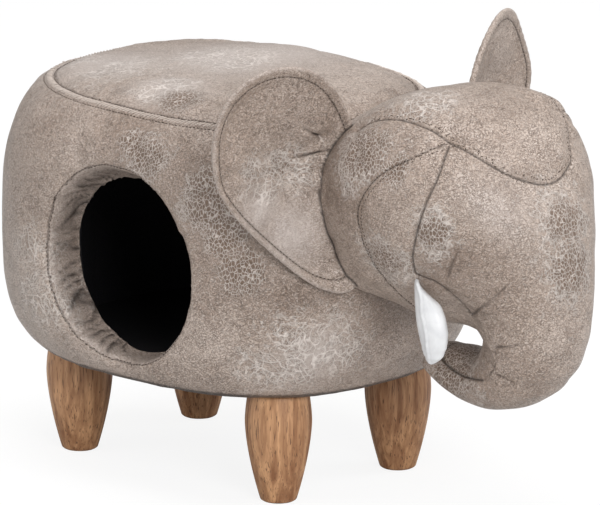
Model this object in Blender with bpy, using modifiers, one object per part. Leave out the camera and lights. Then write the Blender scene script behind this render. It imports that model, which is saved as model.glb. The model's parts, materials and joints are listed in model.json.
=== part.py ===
"""Elephant storage pouf: a padded drum on four turned legs, with a round cave
mouth in its right flank and a stuffed head with trunk, ears and tusks.
Metres, +Z up. +X is forward (the head), -Y is the right flank."""
import math

import bmesh
import bpy
from mathutils import Matrix, Vector

OBJECT_NAME = "elephant_storage_pouf"

# Body drum
BODY_LENGTH = 0.447
BODY_WIDTH = 0.380
BODY_BOTTOM = 0.108
SEAM_HEIGHT = 0.364
SQUARENESS = 2.5
TOP_INSET = 0.039
SHOULDER_POWER = 3.4
BOTTOM_INSET = 0.031
BARREL_POWER = 4.0
SEAT_CROWN = 0.018
CROWN_POWER = 4.0
HEM_WIDTH = 0.026

# Sheet goods and clearances
LEATHER = 0.0014
LINING = 0.0012
FLOOR_PAD = 0.003
GAP = 0.0003
SEAM_GAP = 0.0005

# Frame
WALL_INSET = 0.040
WALL_THICK = 0.005
BOARD_THICK = 0.012
SEAT_BOARD_TOP = 0.338
POST_DEPTH = 0.018
POST_WIDTH = 0.060

# Cave mouth
MOUTH_RADIUS = 0.093
MOUTH_X = 0.016
MOUTH_Z = 0.224

# Legs and their fixings
LEG_INSET_X = 0.09075
LEG_INSET_Y = 0.10875
LEG_MAX_RADIUS = 0.0318
LEG_FOOT_RADIUS = 0.0168
LEG_BULGE_Z = 0.078
LEG_TAPER_POWER = 1.6
LEG_FOOT_EDGE = 0.002
LEG_BORE_DEPTH = 0.040
BOLT_RADIUS = 0.004
BOLT_CLEAR = 0.0004
NUT_WALL = 0.0014
NUT_FLANGE_RADIUS = 0.011
NUT_FLANGE_THICK = 0.0016

# Head and trunk, measured from the body's front and from the seat seam
NECK_SINK = 0.053
NECK_HALF_WIDTH = 0.090
NECK_TOP_DROP = 0.014
CROWN_REACH = 0.065
CROWN_RISE = 0.050
HEAD_HALF_WIDTH = 0.121
CHIN_DROP = 0.172
THROAT_REACH = 0.098
THROAT_RADIUS = 0.013
TRUNK_REACH = 0.213
TRUNK_FRONT_DROP = 0.150
TRUNK_HALF_WIDTH = 0.056
TRUNK_BOTTOM_DROP = 0.248
TRUNK_BOTTOM_REACH = 0.122
TIP_REACH = 0.055
TIP_LIFT = 0.018
TIP_HALF_WIDTH = 0.036
TIP_DOME = 0.016
TIP_CLOSE_SHARE = 0.9
NAPE_POWER = 0.9
BROW_STATION = 1.5
BROW_FULLNESS = 1.25
BROW_BULGE = 0.88
HEAD_SQUARENESS = 2.9
TRUNK_SQUARENESS = 2.1
JOWL_SHARE = 0.35
JOWL_POWER = 1.2
CROWN_SEAM_ANGLE = math.radians(40.0)
LOBE_ANGLE = math.radians(26.0)
LOBE_STATION = 0.8
CHIN_SEAM_ANGLE = math.radians(132.0)
FILLING_GAP = 0.0005
TIP_STATION = 4.0

# Ears, in their own plane: out from the root, and up from its lower end
EAR_STATION = 0.36
EAR_ROOT_TOP_ANGLE = math.radians(42.0)
EAR_ROOT_BOTTOM_ANGLE = math.radians(137.0)
EAR_WIDTH = 0.152
EAR_HEIGHT = 0.230
EAR_MIDDLE = Vector((0.46, 0.56))
EAR_RADII = Vector((0.54, 0.44))
EAR_FOOT_SHARE = 0.10
EAR_FOOT_PULL = Vector((0.20, 0.12))
EAR_SWEEP = math.radians(19.0)
EAR_CUP = 0.012
EAR_CURL = 0.014
EAR_CURL_START_SHARE = 0.62
EAR_CURL_FADE_SHARE = 1.1
EAR_PAD = 0.005
EAR_SWING = math.radians(25.0)

# Tusks
TUSK_STATION = 1.27
TUSK_ANGLE = math.radians(108.0)
TUSK_LENGTH = 0.088
TUSK_WIDTH = 0.034
TUSK_THICK = 0.022
TUSK_BELLY = 0.010
TUSK_SUNK = 0.005
TUSK_TOP_POWER = 0.75
TUSK_TIP_POWER = 0.5
TUSK_LEAN = math.radians(14.0)
TUSK_SPLAY = math.radians(1.0)

# Mesh fineness
AROUND = 36
SIDE_RINGS = 7
SHOULDER_RINGS = 4
SEAT_RINGS = 4
LEG_SIDES = 18
HEAD_RINGS = 9
TRUNK_RINGS = 12
TIP_RINGS = 4
EAR_SIDES = 24
EAR_RINGS = (0.4, 0.75, 0.93, 1.0)
BOLT_SIDES = 10
NUT_SIDES = 14
TUSK_SIDES = 12
TUSK_RINGS = (0.08, 0.2, 0.36, 0.52, 0.68, 0.83, 0.94)
SHARP_ANGLE = math.radians(35.0)

FRONT_X = BODY_LENGTH / 2
BODY_MIDDLE = (BODY_BOTTOM + SEAM_HEIGHT) / 2
HALF_HEIGHT = (SEAM_HEIGHT - BODY_BOTTOM) / 2
BOARD_BOTTOM = BODY_BOTTOM + LEATHER + GAP
BOARD_TOP = BOARD_BOTTOM + BOARD_THICK
FLOOR_BOTTOM = BOARD_TOP + NUT_FLANGE_THICK + GAP
FLOOR_TOP = FLOOR_BOTTOM + FLOOR_PAD
SEAT_BOARD_BOTTOM = SEAT_BOARD_TOP - BOARD_THICK
CEILING_BOTTOM = SEAT_BOARD_BOTTOM - GAP - LINING
MOUTH_CUT = MOUTH_RADIUS + LEATHER + GAP
SEAM_ANGLE = SEAM_GAP / HEAD_HALF_WIDTH
SIDES = {"right": -1.0, "left": 1.0}


def fresh_collections():
    """Empty the scene and make one collection for the parts, one for the cutters."""
    for old in list(bpy.data.objects):
        bpy.data.objects.remove(old, do_unlink=True)
    made = []
    for name in (OBJECT_NAME, OBJECT_NAME + "_cutters"):
        collection = bpy.data.collections.new(name)
        bpy.context.scene.collection.children.link(collection)
        made.append(collection)
    return made


PARTS, CUTTERS = fresh_collections()


def material(name, colour, roughness, metallic=0.0):
    made = bpy.data.materials.new(name)
    made.use_nodes = True
    shader = made.node_tree.nodes["Principled BSDF"]
    shader.inputs["Base Color"].default_value = (*colour, 1.0)
    shader.inputs["Roughness"].default_value = roughness
    shader.inputs["Metallic"].default_value = metallic
    return made


TAUPE = material("taupe_leatherette", (0.36, 0.29, 0.24), 0.45)
BLACK = material("black_lining", (0.012, 0.012, 0.013), 0.9)
OAK = material("turned_wood", (0.40, 0.20, 0.09), 0.45)
PLY = material("plywood", (0.55, 0.40, 0.25), 0.7)
FOAM = material("foam", (0.80, 0.74, 0.55), 0.9)
FIBRE = material("fibre_filling", (0.85, 0.85, 0.83), 0.95)
WHITE = material("white_leatherette", (0.85, 0.85, 0.86), 0.4)
STEEL = material("zinc_steel", (0.60, 0.60, 0.62), 0.35, 1.0)


def add_object(name, bm, finish, collection=None):
    """Turn a closed bmesh into a named object with its faces pointing out."""
    bmesh.ops.recalc_face_normals(bm, faces=bm.faces[:])
    mesh = bpy.data.meshes.new(name)
    bm.to_mesh(mesh)
    bm.free()
    mesh.shade_smooth()
    mesh.set_sharp_from_angle(angle=SHARP_ANGLE)
    mesh.materials.append(finish)
    made = bpy.data.objects.new(name, mesh)
    (collection or PARTS).objects.link(made)
    if collection is CUTTERS:
        made.hide_render = True
        made.display_type = "WIRE"
    return made


def cut(target, cutter, operation="DIFFERENCE"):
    modifier = target.modifiers.new(operation.lower() + "_" + cutter.name, "BOOLEAN")
    modifier.operation = operation
    modifier.solver = "EXACT"
    modifier.object = cutter


def join_rows(bm, rows, closed=False):
    """Skin quads between successive rows of vertices; a one-vertex row is a fan's tip."""
    for row, following in zip(rows, rows[1:]):
        count = max(len(row), len(following))
        for index in range(count if closed else count - 1):
            step = (index + 1) % count
            if len(row) == 1:
                bm.faces.new([row[0], following[step], following[index]])
            elif len(following) == 1:
                bm.faces.new([row[index], row[step], following[0]])
            else:
                bm.faces.new([row[index], row[step], following[step], following[index]])


def rounded(value, power):
    """Signed power of a cosine or sine, which squares up an ellipse."""
    return math.copysign(abs(value) ** power, value)


def oval(half_x, half_y, height, start=0.0, stop=2 * math.pi, count=AROUND, ends=False):
    """Points of a superellipse, the plan of everything in the drum."""
    points = []
    power = 2.0 / SQUARENESS
    for index in range(count + ends):
        angle = start + (stop - start) * index / count
        along = half_x * rounded(math.cos(angle), power)
        across = half_y * rounded(math.sin(angle), power)
        points.append((along, across, height))
    return points


def drum(name, profile, finish, collection=None):
    """Closed drum: rings of a (half length, half width, height) profile, ends capped or fanned."""
    bm = bmesh.new()
    rows = []
    for half_x, half_y, height in profile:
        points = oval(half_x, half_y, height) if half_x > 0 else [(0.0, 0.0, height)]
        rows.append([bm.verts.new(point) for point in points])
    join_rows(bm, rows, closed=True)
    for row in (rows[0], rows[-1]):
        if len(row) > 1:
            bm.faces.new(row)
    return add_object(name, bm, finish, collection)


def band(name, profile, finish, side=None):
    """Sweep a closed profile round the drum, whole or as the right or left half."""
    bm = bmesh.new()
    half = AROUND // 2
    edge = SEAM_GAP / BODY_LENGTH
    rows = []
    for half_x, half_y, height in profile:
        if side is None:
            points = oval(half_x, half_y, height)
        else:
            start = edge if side == "left" else math.pi + edge
            points = oval(half_x, half_y, height, start, start + math.pi - 2 * edge, half, True)
        rows.append([bm.verts.new(point) for point in points])
    join_rows(bm, rows + rows[:1], closed=side is None)
    if side is not None:
        bm.faces.new([row[0] for row in rows])
        bm.faces.new([row[-1] for row in rows])
    return add_object(name, bm, finish)


def barrel_inset(height):
    """How far the drum's side is drawn in from its widest girth at a height."""
    level = (height - BODY_MIDDLE) / HALF_HEIGHT
    if level > 0:
        return TOP_INSET * level ** SHOULDER_POWER
    return BOTTOM_INSET * (-level) ** BARREL_POWER


def girth(height, depth=0.0):
    """Half length and half width of the drum's side at a height, a depth below its surface."""
    inset = barrel_inset(height) + depth
    return BODY_LENGTH / 2 - inset, BODY_WIDTH / 2 - inset, height


def steps(start, stop, count):
    return [start + (stop - start) * index / count for index in range(count + 1)]


def side_levels(bottom, top):
    """Heights shared by side foam, seat foam and side cover, so that their facets lie parallel."""
    beside_wall = steps(BODY_BOTTOM, SEAT_BOARD_TOP, SIDE_RINGS)[1:]
    beside_seat = steps(SEAT_BOARD_TOP, SEAM_HEIGHT, SHOULDER_RINGS)[1:-1]
    return [bottom] + beside_wall + beside_seat + [top]


def wall_outline(inset, height):
    """Half length and half width of the upright wall, an inset inside its outer face."""
    return BODY_LENGTH / 2 - WALL_INSET - inset, BODY_WIDTH / 2 - WALL_INSET - inset, height


def liner_outline(inset, height):
    """The lining hangs clear of the posts at front and rear, close to the wall at the flanks."""
    half_x, half_y, _ = wall_outline(WALL_THICK + GAP, height)
    return half_x - POST_DEPTH - 2 * GAP - inset, half_y - inset, height


def seat_dome(depth, drop):
    """Profile of the crowned seat from its centre to its edge, drawn in by a depth and lowered."""
    half_x, half_y, edge = girth(SEAM_HEIGHT, depth)
    profile = []
    for share in steps(0.0, 1.0, SEAT_RINGS):
        crown = SEAT_CROWN * (1 - share ** CROWN_POWER)
        profile.append((half_x * share, half_y * share, edge + crown - drop))
    return profile


def cylinder(name, radius, start, stop, finish, collection=None, sides=AROUND):
    """Round bar between two points."""
    start, stop = Vector(start), Vector(stop)
    turn = (stop - start).to_track_quat("Z", "Y").to_matrix().to_4x4()
    bm = bmesh.new()
    bmesh.ops.create_cone(bm, cap_ends=True, segments=sides, radius1=radius, radius2=radius,
                          depth=(stop - start).length,
                          matrix=Matrix.Translation((start + stop) / 2) @ turn)
    return add_object(name, bm, finish, collection)


def turned(name, profile, place, finish, sides=LEG_SIDES):
    """Turned piece: a profile of (radius, height) from its top down its outer side."""
    mesh = bpy.data.meshes.new(name)
    closed = profile[0][0] > 0
    edges = [(index, index + 1) for index in range(len(profile) - 1)]
    if closed:
        edges.append((len(profile) - 1, 0))
    mesh.from_pydata([(radius, 0.0, height) for radius, height in profile], edges, [])
    mesh.materials.append(finish)
    made = bpy.data.objects.new(name, mesh)
    made.location = place
    PARTS.objects.link(made)
    screw = made.modifiers.new("turn", "SCREW")
    screw.steps = sides
    screw.render_steps = sides
    screw.use_merge_vertices = True
    screw.merge_threshold = 0.00005
    return made


def make_cutters():
    flank = -BODY_WIDTH / 2
    mouth = cylinder("mouth_cutter", MOUTH_CUT, (MOUTH_X, flank - WALL_INSET, MOUTH_Z),
                     (MOUTH_X, 0.0, MOUTH_Z), TAUPE, CUTTERS)
    heights = side_levels(BODY_BOTTOM, SEAM_HEIGHT)
    skin = [girth(height) for height in heights] + seat_dome(0.0, 0.0)[-2::-1]
    body = drum("body_cutter", skin, TAUPE, CUTTERS)
    grown = [girth(height, -SEAM_GAP) for height in heights]
    grown += seat_dome(-SEAM_GAP, -SEAM_GAP)[::-1]
    clear = drum("body_clear_cutter", grown, TAUPE, CUTTERS)
    hollow = [liner_outline(LINING, FLOOR_BOTTOM), liner_outline(LINING, SEAT_BOARD_BOTTOM)]
    cave = drum("cave_cutter", hollow, BLACK, CUTTERS)
    return mouth, body, clear, cave


def make_frame(mouth):
    """Two boards joined by a bent wall in two halves and a post at each end."""
    inside = WALL_THICK + GAP
    base = drum("base_board", [wall_outline(inside, BOARD_BOTTOM),
                               wall_outline(inside, BOARD_TOP)], PLY)
    drum("seat_board", [wall_outline(inside, SEAT_BOARD_BOTTOM),
                        wall_outline(inside, SEAT_BOARD_TOP)], PLY)
    for side in SIDES:
        profile = [wall_outline(0.0, BOARD_BOTTOM), wall_outline(0.0, SEAT_BOARD_TOP),
                   wall_outline(WALL_THICK, SEAT_BOARD_TOP), wall_outline(WALL_THICK, BOARD_BOTTOM)]
        wall = band(side + "_wall", profile, PLY, side)
        if side == "right":
            cut(wall, mouth)
    inner = wall_outline(inside, 0.0)
    sag = inner[0] * (1 - (1 - (POST_WIDTH / 2 / inner[1]) ** SQUARENESS) ** (1 / SQUARENESS))
    outer_face = inner[0] - sag - GAP
    for name, sign in (("front_post", 1.0), ("rear_post", -1.0)):
        bm = bmesh.new()
        bmesh.ops.create_cube(bm, size=1.0)
        size = (POST_DEPTH - sag - GAP, POST_WIDTH, SEAT_BOARD_BOTTOM - BOARD_TOP - 2 * GAP)
        bmesh.ops.scale(bm, vec=size, verts=bm.verts[:])
        centre = (sign * (outer_face - size[0] / 2), 0.0, (BOARD_TOP + SEAT_BOARD_BOTTOM) / 2)
        bmesh.ops.translate(bm, vec=centre, verts=bm.verts[:])
        add_object(name, bm, PLY)
    return base


def make_padding(mouth):
    """Side foam in two halves between wall and cover, and a crowned seat foam on top."""
    depth = LEATHER + GAP
    bottom = BODY_BOTTOM + LEATHER + GAP
    for side in SIDES:
        heights = side_levels(bottom, SEAM_HEIGHT)[:SIDE_RINGS + 1]
        profile = [girth(height, depth) for height in heights]
        profile += [wall_outline(-GAP, SEAT_BOARD_TOP), wall_outline(-GAP, bottom)]
        foam = band(side + "_side_foam", profile, FOAM, side)
        if side == "right":
            cut(foam, mouth)
    levels = [SEAT_BOARD_TOP + GAP] + side_levels(bottom, SEAM_HEIGHT - depth)[SIDE_RINGS + 1:]
    edge = [girth(height, depth) for height in levels]
    top = seat_dome(depth, depth)[-2::-1]
    drum("seat_foam", edge + top, FOAM)


def make_cover(mouth, body, cave):
    """Side cover with its hem turned under, the seat cover, and the collar in the mouth."""
    top = SEAM_HEIGHT - LEATHER
    outer = [girth(height) for height in side_levels(BODY_BOTTOM, top)]
    inner = [girth(height, LEATHER) for height in side_levels(BODY_BOTTOM + LEATHER, top)]
    hem_x, hem_y, _ = girth(BODY_BOTTOM, HEM_WIDTH)
    hem = [(hem_x, hem_y, BODY_BOTTOM + LEATHER), (hem_x, hem_y, BODY_BOTTOM)]
    side_cover = band("side_cover", outer + inner[::-1] + hem, TAUPE)
    cut(side_cover, mouth)
    drum("seat_cover", seat_dome(0.0, -GAP) + seat_dome(0.0, LEATHER - GAP)[::-1], TAUPE)
    drum("dust_cover", [girth(BODY_BOTTOM, HEM_WIDTH + GAP),
                        (hem_x - GAP, hem_y - GAP, BODY_BOTTOM + LEATHER)], BLACK)
    flank = -BODY_WIDTH / 2
    collar = cylinder("mouth_collar", MOUTH_RADIUS + LEATHER, (MOUTH_X, flank - WALL_INSET, MOUTH_Z),
                      (MOUTH_X, 0.0, MOUTH_Z), TAUPE)
    bore = cylinder("collar_bore_cutter", MOUTH_RADIUS, (MOUTH_X, 2 * flank, MOUTH_Z),
                    (MOUTH_X, BODY_WIDTH, MOUTH_Z), TAUPE, CUTTERS)
    cut(collar, bore)
    cut(collar, body, "INTERSECT")
    cut(collar, cave)


def make_lining(mouth):
    """Black lining of the cave: walls, floor pad and ceiling."""
    low, high = FLOOR_BOTTOM, CEILING_BOTTOM - GAP
    profile = [liner_outline(0.0, low), liner_outline(0.0, high),
               liner_outline(LINING, high), liner_outline(LINING, low)]
    cut(band("cave_lining", profile, BLACK), mouth)
    inset = LINING + GAP
    drum("cave_floor_pad", [liner_outline(inset, FLOOR_BOTTOM), liner_outline(inset, FLOOR_TOP)], BLACK)
    drum("cave_ceiling", [liner_outline(0.0, CEILING_BOTTOM),
                          liner_outline(0.0, CEILING_BOTTOM + LINING)], BLACK)


def leg_radius(height):
    share = abs(height - LEG_BULGE_Z) / LEG_BULGE_Z
    return LEG_MAX_RADIUS - (LEG_MAX_RADIUS - LEG_FOOT_RADIUS) * share ** LEG_TAPER_POWER


def make_legs(base):
    """Four turned legs, each on a hanger bolt screwed into a tee nut in the base board."""
    bore = BOLT_RADIUS + BOLT_CLEAR
    leg_top = BODY_BOTTOM - GAP
    bore_end = leg_top - LEG_BORE_DEPTH
    outside = [(leg_radius(height), height) for height in steps(leg_top, LEG_FOOT_EDGE, 7)]
    foot = LEG_FOOT_RADIUS - LEG_FOOT_EDGE
    leg = [(0.0, bore_end), (bore, bore_end), (bore, leg_top)] + outside + [(foot, 0.0), (0.0, 0.0)]
    bolt_end = bore_end + GAP
    bolt = [(0.0, BOARD_TOP), (BOLT_RADIUS, BOARD_TOP), (BOLT_RADIUS, bolt_end), (0.0, bolt_end)]
    barrel = bore + NUT_WALL
    flange_top = BOARD_TOP + NUT_FLANGE_THICK
    seat, end = BOARD_TOP + GAP, BOARD_BOTTOM + GAP
    nut = [(bore, flange_top), (NUT_FLANGE_RADIUS, flange_top), (NUT_FLANGE_RADIUS, seat),
           (barrel, seat), (barrel, end), (bore, end)]
    leg_x, leg_y = BODY_LENGTH / 2 - LEG_INSET_X, BODY_WIDTH / 2 - LEG_INSET_Y
    dust = bpy.data.objects["dust_cover"]
    for row, sign_x in (("front", 1.0), ("rear", -1.0)):
        for side, sign_y in SIDES.items():
            label = row + "_" + side
            place = (sign_x * leg_x, sign_y * leg_y, 0.0)
            turned(label + "_leg", leg, place, OAK)
            turned(label + "_leg_bolt", bolt, place, STEEL, BOLT_SIDES)
            turned(label + "_tee_nut", nut, place, STEEL, NUT_SIDES)
            top = (place[0], place[1], FLOOR_TOP)
            cut(base, cylinder(label + "_nut_cutter", barrel + GAP, place, top, STEEL, CUTTERS, NUT_SIDES))
            cut(dust, cylinder(label + "_bolt_cutter", bore, place, top, STEEL, CUTTERS, BOLT_SIDES))


def smooth(share):
    return share * share * (3 - 2 * share)


def mix(first, second, share):
    return first + (second - first) * share


def head_section(station):
    """Top and underside points (x, z) and half width of the head and trunk.
    Stations 0 to 1 run from the neck to the crown, 1 to 2 over the forehead to the trunk's
    front, 2 to 3 round the curl, 3 to 4 back to the tip, and 4 to 5 close the tip."""
    zone = min(int(station), 4)
    share = station - zone
    curl_half_width = (TRUNK_HALF_WIDTH + TIP_HALF_WIDTH) / 2
    chin_z = SEAM_HEIGHT - CHIN_DROP
    throat_x, throat_z = FRONT_X + THROAT_REACH, chin_z - THROAT_RADIUS
    crown_x, crown_z = FRONT_X + CROWN_REACH, SEAM_HEIGHT + CROWN_RISE
    front_x, front_z = FRONT_X + TRUNK_REACH, SEAM_HEIGHT - TRUNK_FRONT_DROP
    bottom_x, bottom_z = FRONT_X + TRUNK_BOTTOM_REACH, SEAM_HEIGHT - TRUNK_BOTTOM_DROP
    if zone == 0:
        back_x, back_z = FRONT_X - NECK_SINK, SEAM_HEIGHT - NECK_TOP_DROP
        turn = math.pi / 2 * share
        along = mix(back_x, crown_x, share)
        top = Vector((along, mix(back_z, crown_z, math.sin(turn) ** NAPE_POWER)))
        under = Vector((along, mix(chin_z + NECK_SINK / 2, chin_z, smooth(share))))
        return top, under, mix(NECK_HALF_WIDTH, HEAD_HALF_WIDTH, math.sin(turn))
    if zone == 1:
        turn = math.pi / 2 * (1 - share)
        top = Vector((mix(crown_x, front_x, math.cos(turn) ** BROW_BULGE),
                      mix(front_z, crown_z, math.sin(turn) ** BROW_BULGE)))
        half = min(share * 2, 1.0)
        bend = math.pi / 2 * max(share * 2 - 1, 0.0)
        under = Vector((mix(crown_x, throat_x, half) + THROAT_RADIUS * math.sin(bend),
                        throat_z + THROAT_RADIUS * math.cos(bend)))
        return top, under, mix(HEAD_HALF_WIDTH, TRUNK_HALF_WIDTH, smooth(share ** BROW_FULLNESS))
    if zone == 2:
        turn = math.pi / 2 * share
        top = Vector((mix(bottom_x, front_x, math.cos(turn)), mix(front_z, bottom_z, math.sin(turn))))
        under = Vector((throat_x + THROAT_RADIUS * math.cos(turn),
                        throat_z - THROAT_RADIUS * math.sin(turn)))
        return top, under, mix(TRUNK_HALF_WIDTH, curl_half_width, share)
    tip_x = FRONT_X + TIP_REACH
    tip_top = Vector((tip_x, bottom_z + TIP_LIFT))
    tip_under = Vector((tip_x, throat_z - THROAT_RADIUS))
    if zone == 3:
        top = Vector((mix(bottom_x, tip_x, share), mix(bottom_z, tip_top.y, share ** 2)))
        under = Vector((mix(throat_x, tip_x, share), tip_under.y))
        return top, under, mix(curl_half_width, TIP_HALF_WIDTH, share)
    turn = math.pi / 2 * share
    shrink = math.cos(turn * TIP_CLOSE_SHARE)
    centre = (tip_top + tip_under) / 2 + Vector((-TIP_DOME * math.sin(turn), 0.0))
    arm = (tip_top - tip_under) / 2 * shrink
    return centre + arm, centre - arm, TIP_HALF_WIDTH * shrink


def head_point(station, angle, depth=0.0):
    """Point on the head or trunk: angle 0 is the top or front, plus is the left side."""
    top, under, half_width = head_section(station)
    power = 2 / mix(HEAD_SQUARENESS, TRUNK_SQUARENESS, min(station / 2, 1.0))
    centre, arm = (top + under) / 2, (top - under) / 2
    arm = arm * (1 - depth / arm.length)
    rise = rounded(math.cos(angle), power)
    plane = centre + arm * rise
    taper = 1 - JOWL_SHARE * max(0.0, -rise) ** JOWL_POWER
    across = (half_width * taper - depth) * rounded(math.sin(angle), power)
    return Vector((plane.x, across, plane.y))


def crown_seam(station):
    """Half angle of the crown panel, which narrows to a rounded lobe over the forehead."""
    share = max(0.0, station - LOBE_STATION) / (BROW_STATION - LOBE_STATION)
    return mix(CROWN_SEAM_ANGLE, LOBE_ANGLE, share ** 2)


def chin_seam(_):
    return CHIN_SEAM_ANGLE


def other_side(seam):
    """The same seam on the right side, counted on round the section."""
    return lambda station: 2 * math.pi - seam(station)


# Panels round the section: seam before, seam after, columns of facets between them
HEAD_PANELS = {
    "crown_panel": (lambda station: -crown_seam(station), crown_seam, 6),
    "left_cheek_panel": (crown_seam, chin_seam, 8),
    "chin_panel": (chin_seam, other_side(chin_seam), 6),
    "right_cheek_panel": (other_side(chin_seam), other_side(crown_seam), 8),
}
TRUNK_PANELS = {
    "trunk_front_panel": (lambda station: -chin_seam(station), chin_seam, 18),
    "trunk_underside_panel": (chin_seam, other_side(chin_seam), 6),
}
HEAD_STATIONS = steps(0.0, BROW_STATION - SEAM_ANGLE, HEAD_RINGS)
TRUNK_STATIONS = steps(BROW_STATION + SEAM_ANGLE, TIP_STATION - SEAM_ANGLE, TRUNK_RINGS)


def head_core(name, stations, panels, depth, finish, collection=None):
    """Closed body under (or, with a negative depth, round) the panels, with their facets."""
    bm = bmesh.new()
    rows = []
    for station in stations:
        angles = []
        for before, after, columns in panels.values():
            angles += steps(before(station), after(station), columns)[:-1]
        rows.append([bm.verts.new(head_point(station, angle, depth)) for angle in angles])
    join_rows(bm, rows, closed=True)
    bm.faces.new(rows[0])
    bm.faces.new(rows[-1])
    return add_object(name, bm, finish, collection)


def sewn_panel(name, stations, bounds):
    """Leather panel: a patch of the head's skin between two seams."""
    before, after, columns = bounds
    bm = bmesh.new()
    layers = []
    for depth in (0.0, LEATHER):
        rows = []
        for station in stations:
            angles = steps(before(station) + SEAM_ANGLE, after(station) - SEAM_ANGLE, columns)
            rows.append([bm.verts.new(head_point(station, angle, depth)) for angle in angles])
        join_rows(bm, rows)
        layers.append(rows)
    outer, inner = layers
    for first, second in ((outer[0], inner[0]), (outer[-1], inner[-1]),
                          ([row[0] for row in outer], [row[0] for row in inner]),
                          ([row[-1] for row in outer], [row[-1] for row in inner])):
        join_rows(bm, [first, second])
    return add_object(name, bm, TAUPE)


def make_head(clear):
    """Filled head and trunk under sewn panels, cut where the neck meets the body."""
    depth = LEATHER + FILLING_GAP
    made = [head_core("head_filling", HEAD_STATIONS, HEAD_PANELS, depth, FIBRE)]
    made += [sewn_panel(name, HEAD_STATIONS, bounds) for name, bounds in HEAD_PANELS.items()]
    for piece in made:
        cut(piece, clear)
    head_core("trunk_filling", TRUNK_STATIONS, TRUNK_PANELS, depth, FIBRE)
    for name, bounds in TRUNK_PANELS.items():
        sewn_panel(name, TRUNK_STATIONS, bounds)
    head_core("trunk_tip", steps(TIP_STATION, TIP_STATION + 1, TIP_RINGS), TRUNK_PANELS, 0.0, TAUPE)


def ear_frame(sign):
    """Root line, outward and forward directions of one ear."""
    low = head_point(EAR_STATION, sign * EAR_ROOT_BOTTOM_ANGLE)
    high = head_point(EAR_STATION, sign * EAR_ROOT_TOP_ANGLE)
    up = (high - low).normalized()
    outward = Vector((-math.sin(EAR_SWEEP), sign * math.cos(EAR_SWEEP), 0.0))
    outward = (outward - up * outward.dot(up)).normalized()
    forward = Vector((math.cos(EAR_SWEEP), sign * math.sin(EAR_SWEEP), 0.0))
    forward = (forward - up * forward.dot(up)).normalized()
    return low, high, up, outward, forward


def ear_outline(angle):
    """Leaf of the ear as shares of its width and height: full at the top, narrow at the foot."""
    low = (1 - math.sin(angle)) / 2
    out = (EAR_RADII.x - EAR_FOOT_SHARE * low) * math.cos(angle)
    return EAR_MIDDLE + Vector((out, EAR_RADII.y * math.sin(angle))) - EAR_FOOT_PULL * low ** 2


def ear_point(frame, share, angle, face, cover):
    """Point of the dished ear: share 0 at its middle and 1 at its rim, on the front or back face,
    a cover thickness over the pad, which thins out to nothing at the rim."""
    low, _, up, outward, forward = frame
    place = EAR_MIDDLE.lerp(ear_outline(angle), share)
    curl = max(0.0, place.y - EAR_CURL_START_SHARE) / (1 - EAR_CURL_START_SHARE)
    dish = EAR_CUP * (2 * (place - EAR_MIDDLE).length) ** 2
    dish += EAR_CURL * curl ** 2 * (EAR_CURL_FADE_SHARE - place.x)
    puff = 1 - smooth(max(0.0, share - EAR_RINGS[1]) / (1 - EAR_RINGS[1]))
    layer = face * (EAR_PAD / 2 * puff + cover)
    return low + outward * place.x * EAR_WIDTH + up * place.y * EAR_HEIGHT + forward * (dish + layer)


def ear_layer(name, frame, rings, faces, finish):
    """One layer of the ear between two (face, cover) surfaces."""
    bm = bmesh.new()
    rims = []
    for face, cover in faces:
        rows = [[bm.verts.new(ear_point(frame, 0.0, 0.0, face, cover))]]
        for share in rings:
            angles = steps(0.0, 2 * math.pi, EAR_SIDES)[:-1]
            rows.append([bm.verts.new(ear_point(frame, share, angle, face, cover)) for angle in angles])
        join_rows(bm, rows, closed=True)
        rims.append(rows[-1])
    join_rows(bm, rims, closed=True)
    return add_object(name, bm, finish)


def ear_clearances(side, sign, frame):
    """The head as the ear meets it at rest and swung fully forward, as one set of cutters."""
    low, high = frame[0], frame[1]
    swept = bpy.data.collections.new(side + "_ear_cutters")
    CUTTERS.children.link(swept)
    for label, swing in (("rest", 0.0), ("swung", EAR_SWING)):
        head = head_core(f"{side}_ear_{label}_cutter", HEAD_STATIONS, HEAD_PANELS, -SEAM_GAP, TAUPE, CUTTERS)
        CUTTERS.objects.unlink(head)
        swept.objects.link(head)
        spin = Matrix.Rotation(sign * swing, 4, high - low)
        head.matrix_world = Matrix.Translation(low) @ spin @ Matrix.Translation(-low)
    return swept


def make_ears():
    """Each ear is two leather leaves over a pad, cut clear of the head where it swings."""
    layers = (("front", EAR_RINGS, ((1.0, GAP), (1.0, GAP + LEATHER)), TAUPE),
              ("pad", EAR_RINGS[:-1], ((-1.0, 0.0), (1.0, 0.0)), FOAM),
              ("back", EAR_RINGS, ((-1.0, GAP + LEATHER), (-1.0, GAP)), TAUPE))
    for side, sign in SIDES.items():
        frame = ear_frame(sign)
        swept = ear_clearances(side, sign, frame)
        for label, rings, faces, finish in layers:
            ear = ear_layer(f"{side}_ear_{label}", frame, rings, faces, finish)
            clear = ear.modifiers.new("clear_of_head", "BOOLEAN")
            clear.operand_type = "COLLECTION"
            clear.collection = swept
            clear.operation = "DIFFERENCE"
            clear.solver = "EXACT"


def tusk_fullness(share):
    """How full the tusk is along its length: pointed at the top, blunt at the tip."""
    return share ** TUSK_TOP_POWER * (1 - share) ** TUSK_TIP_POWER


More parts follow.
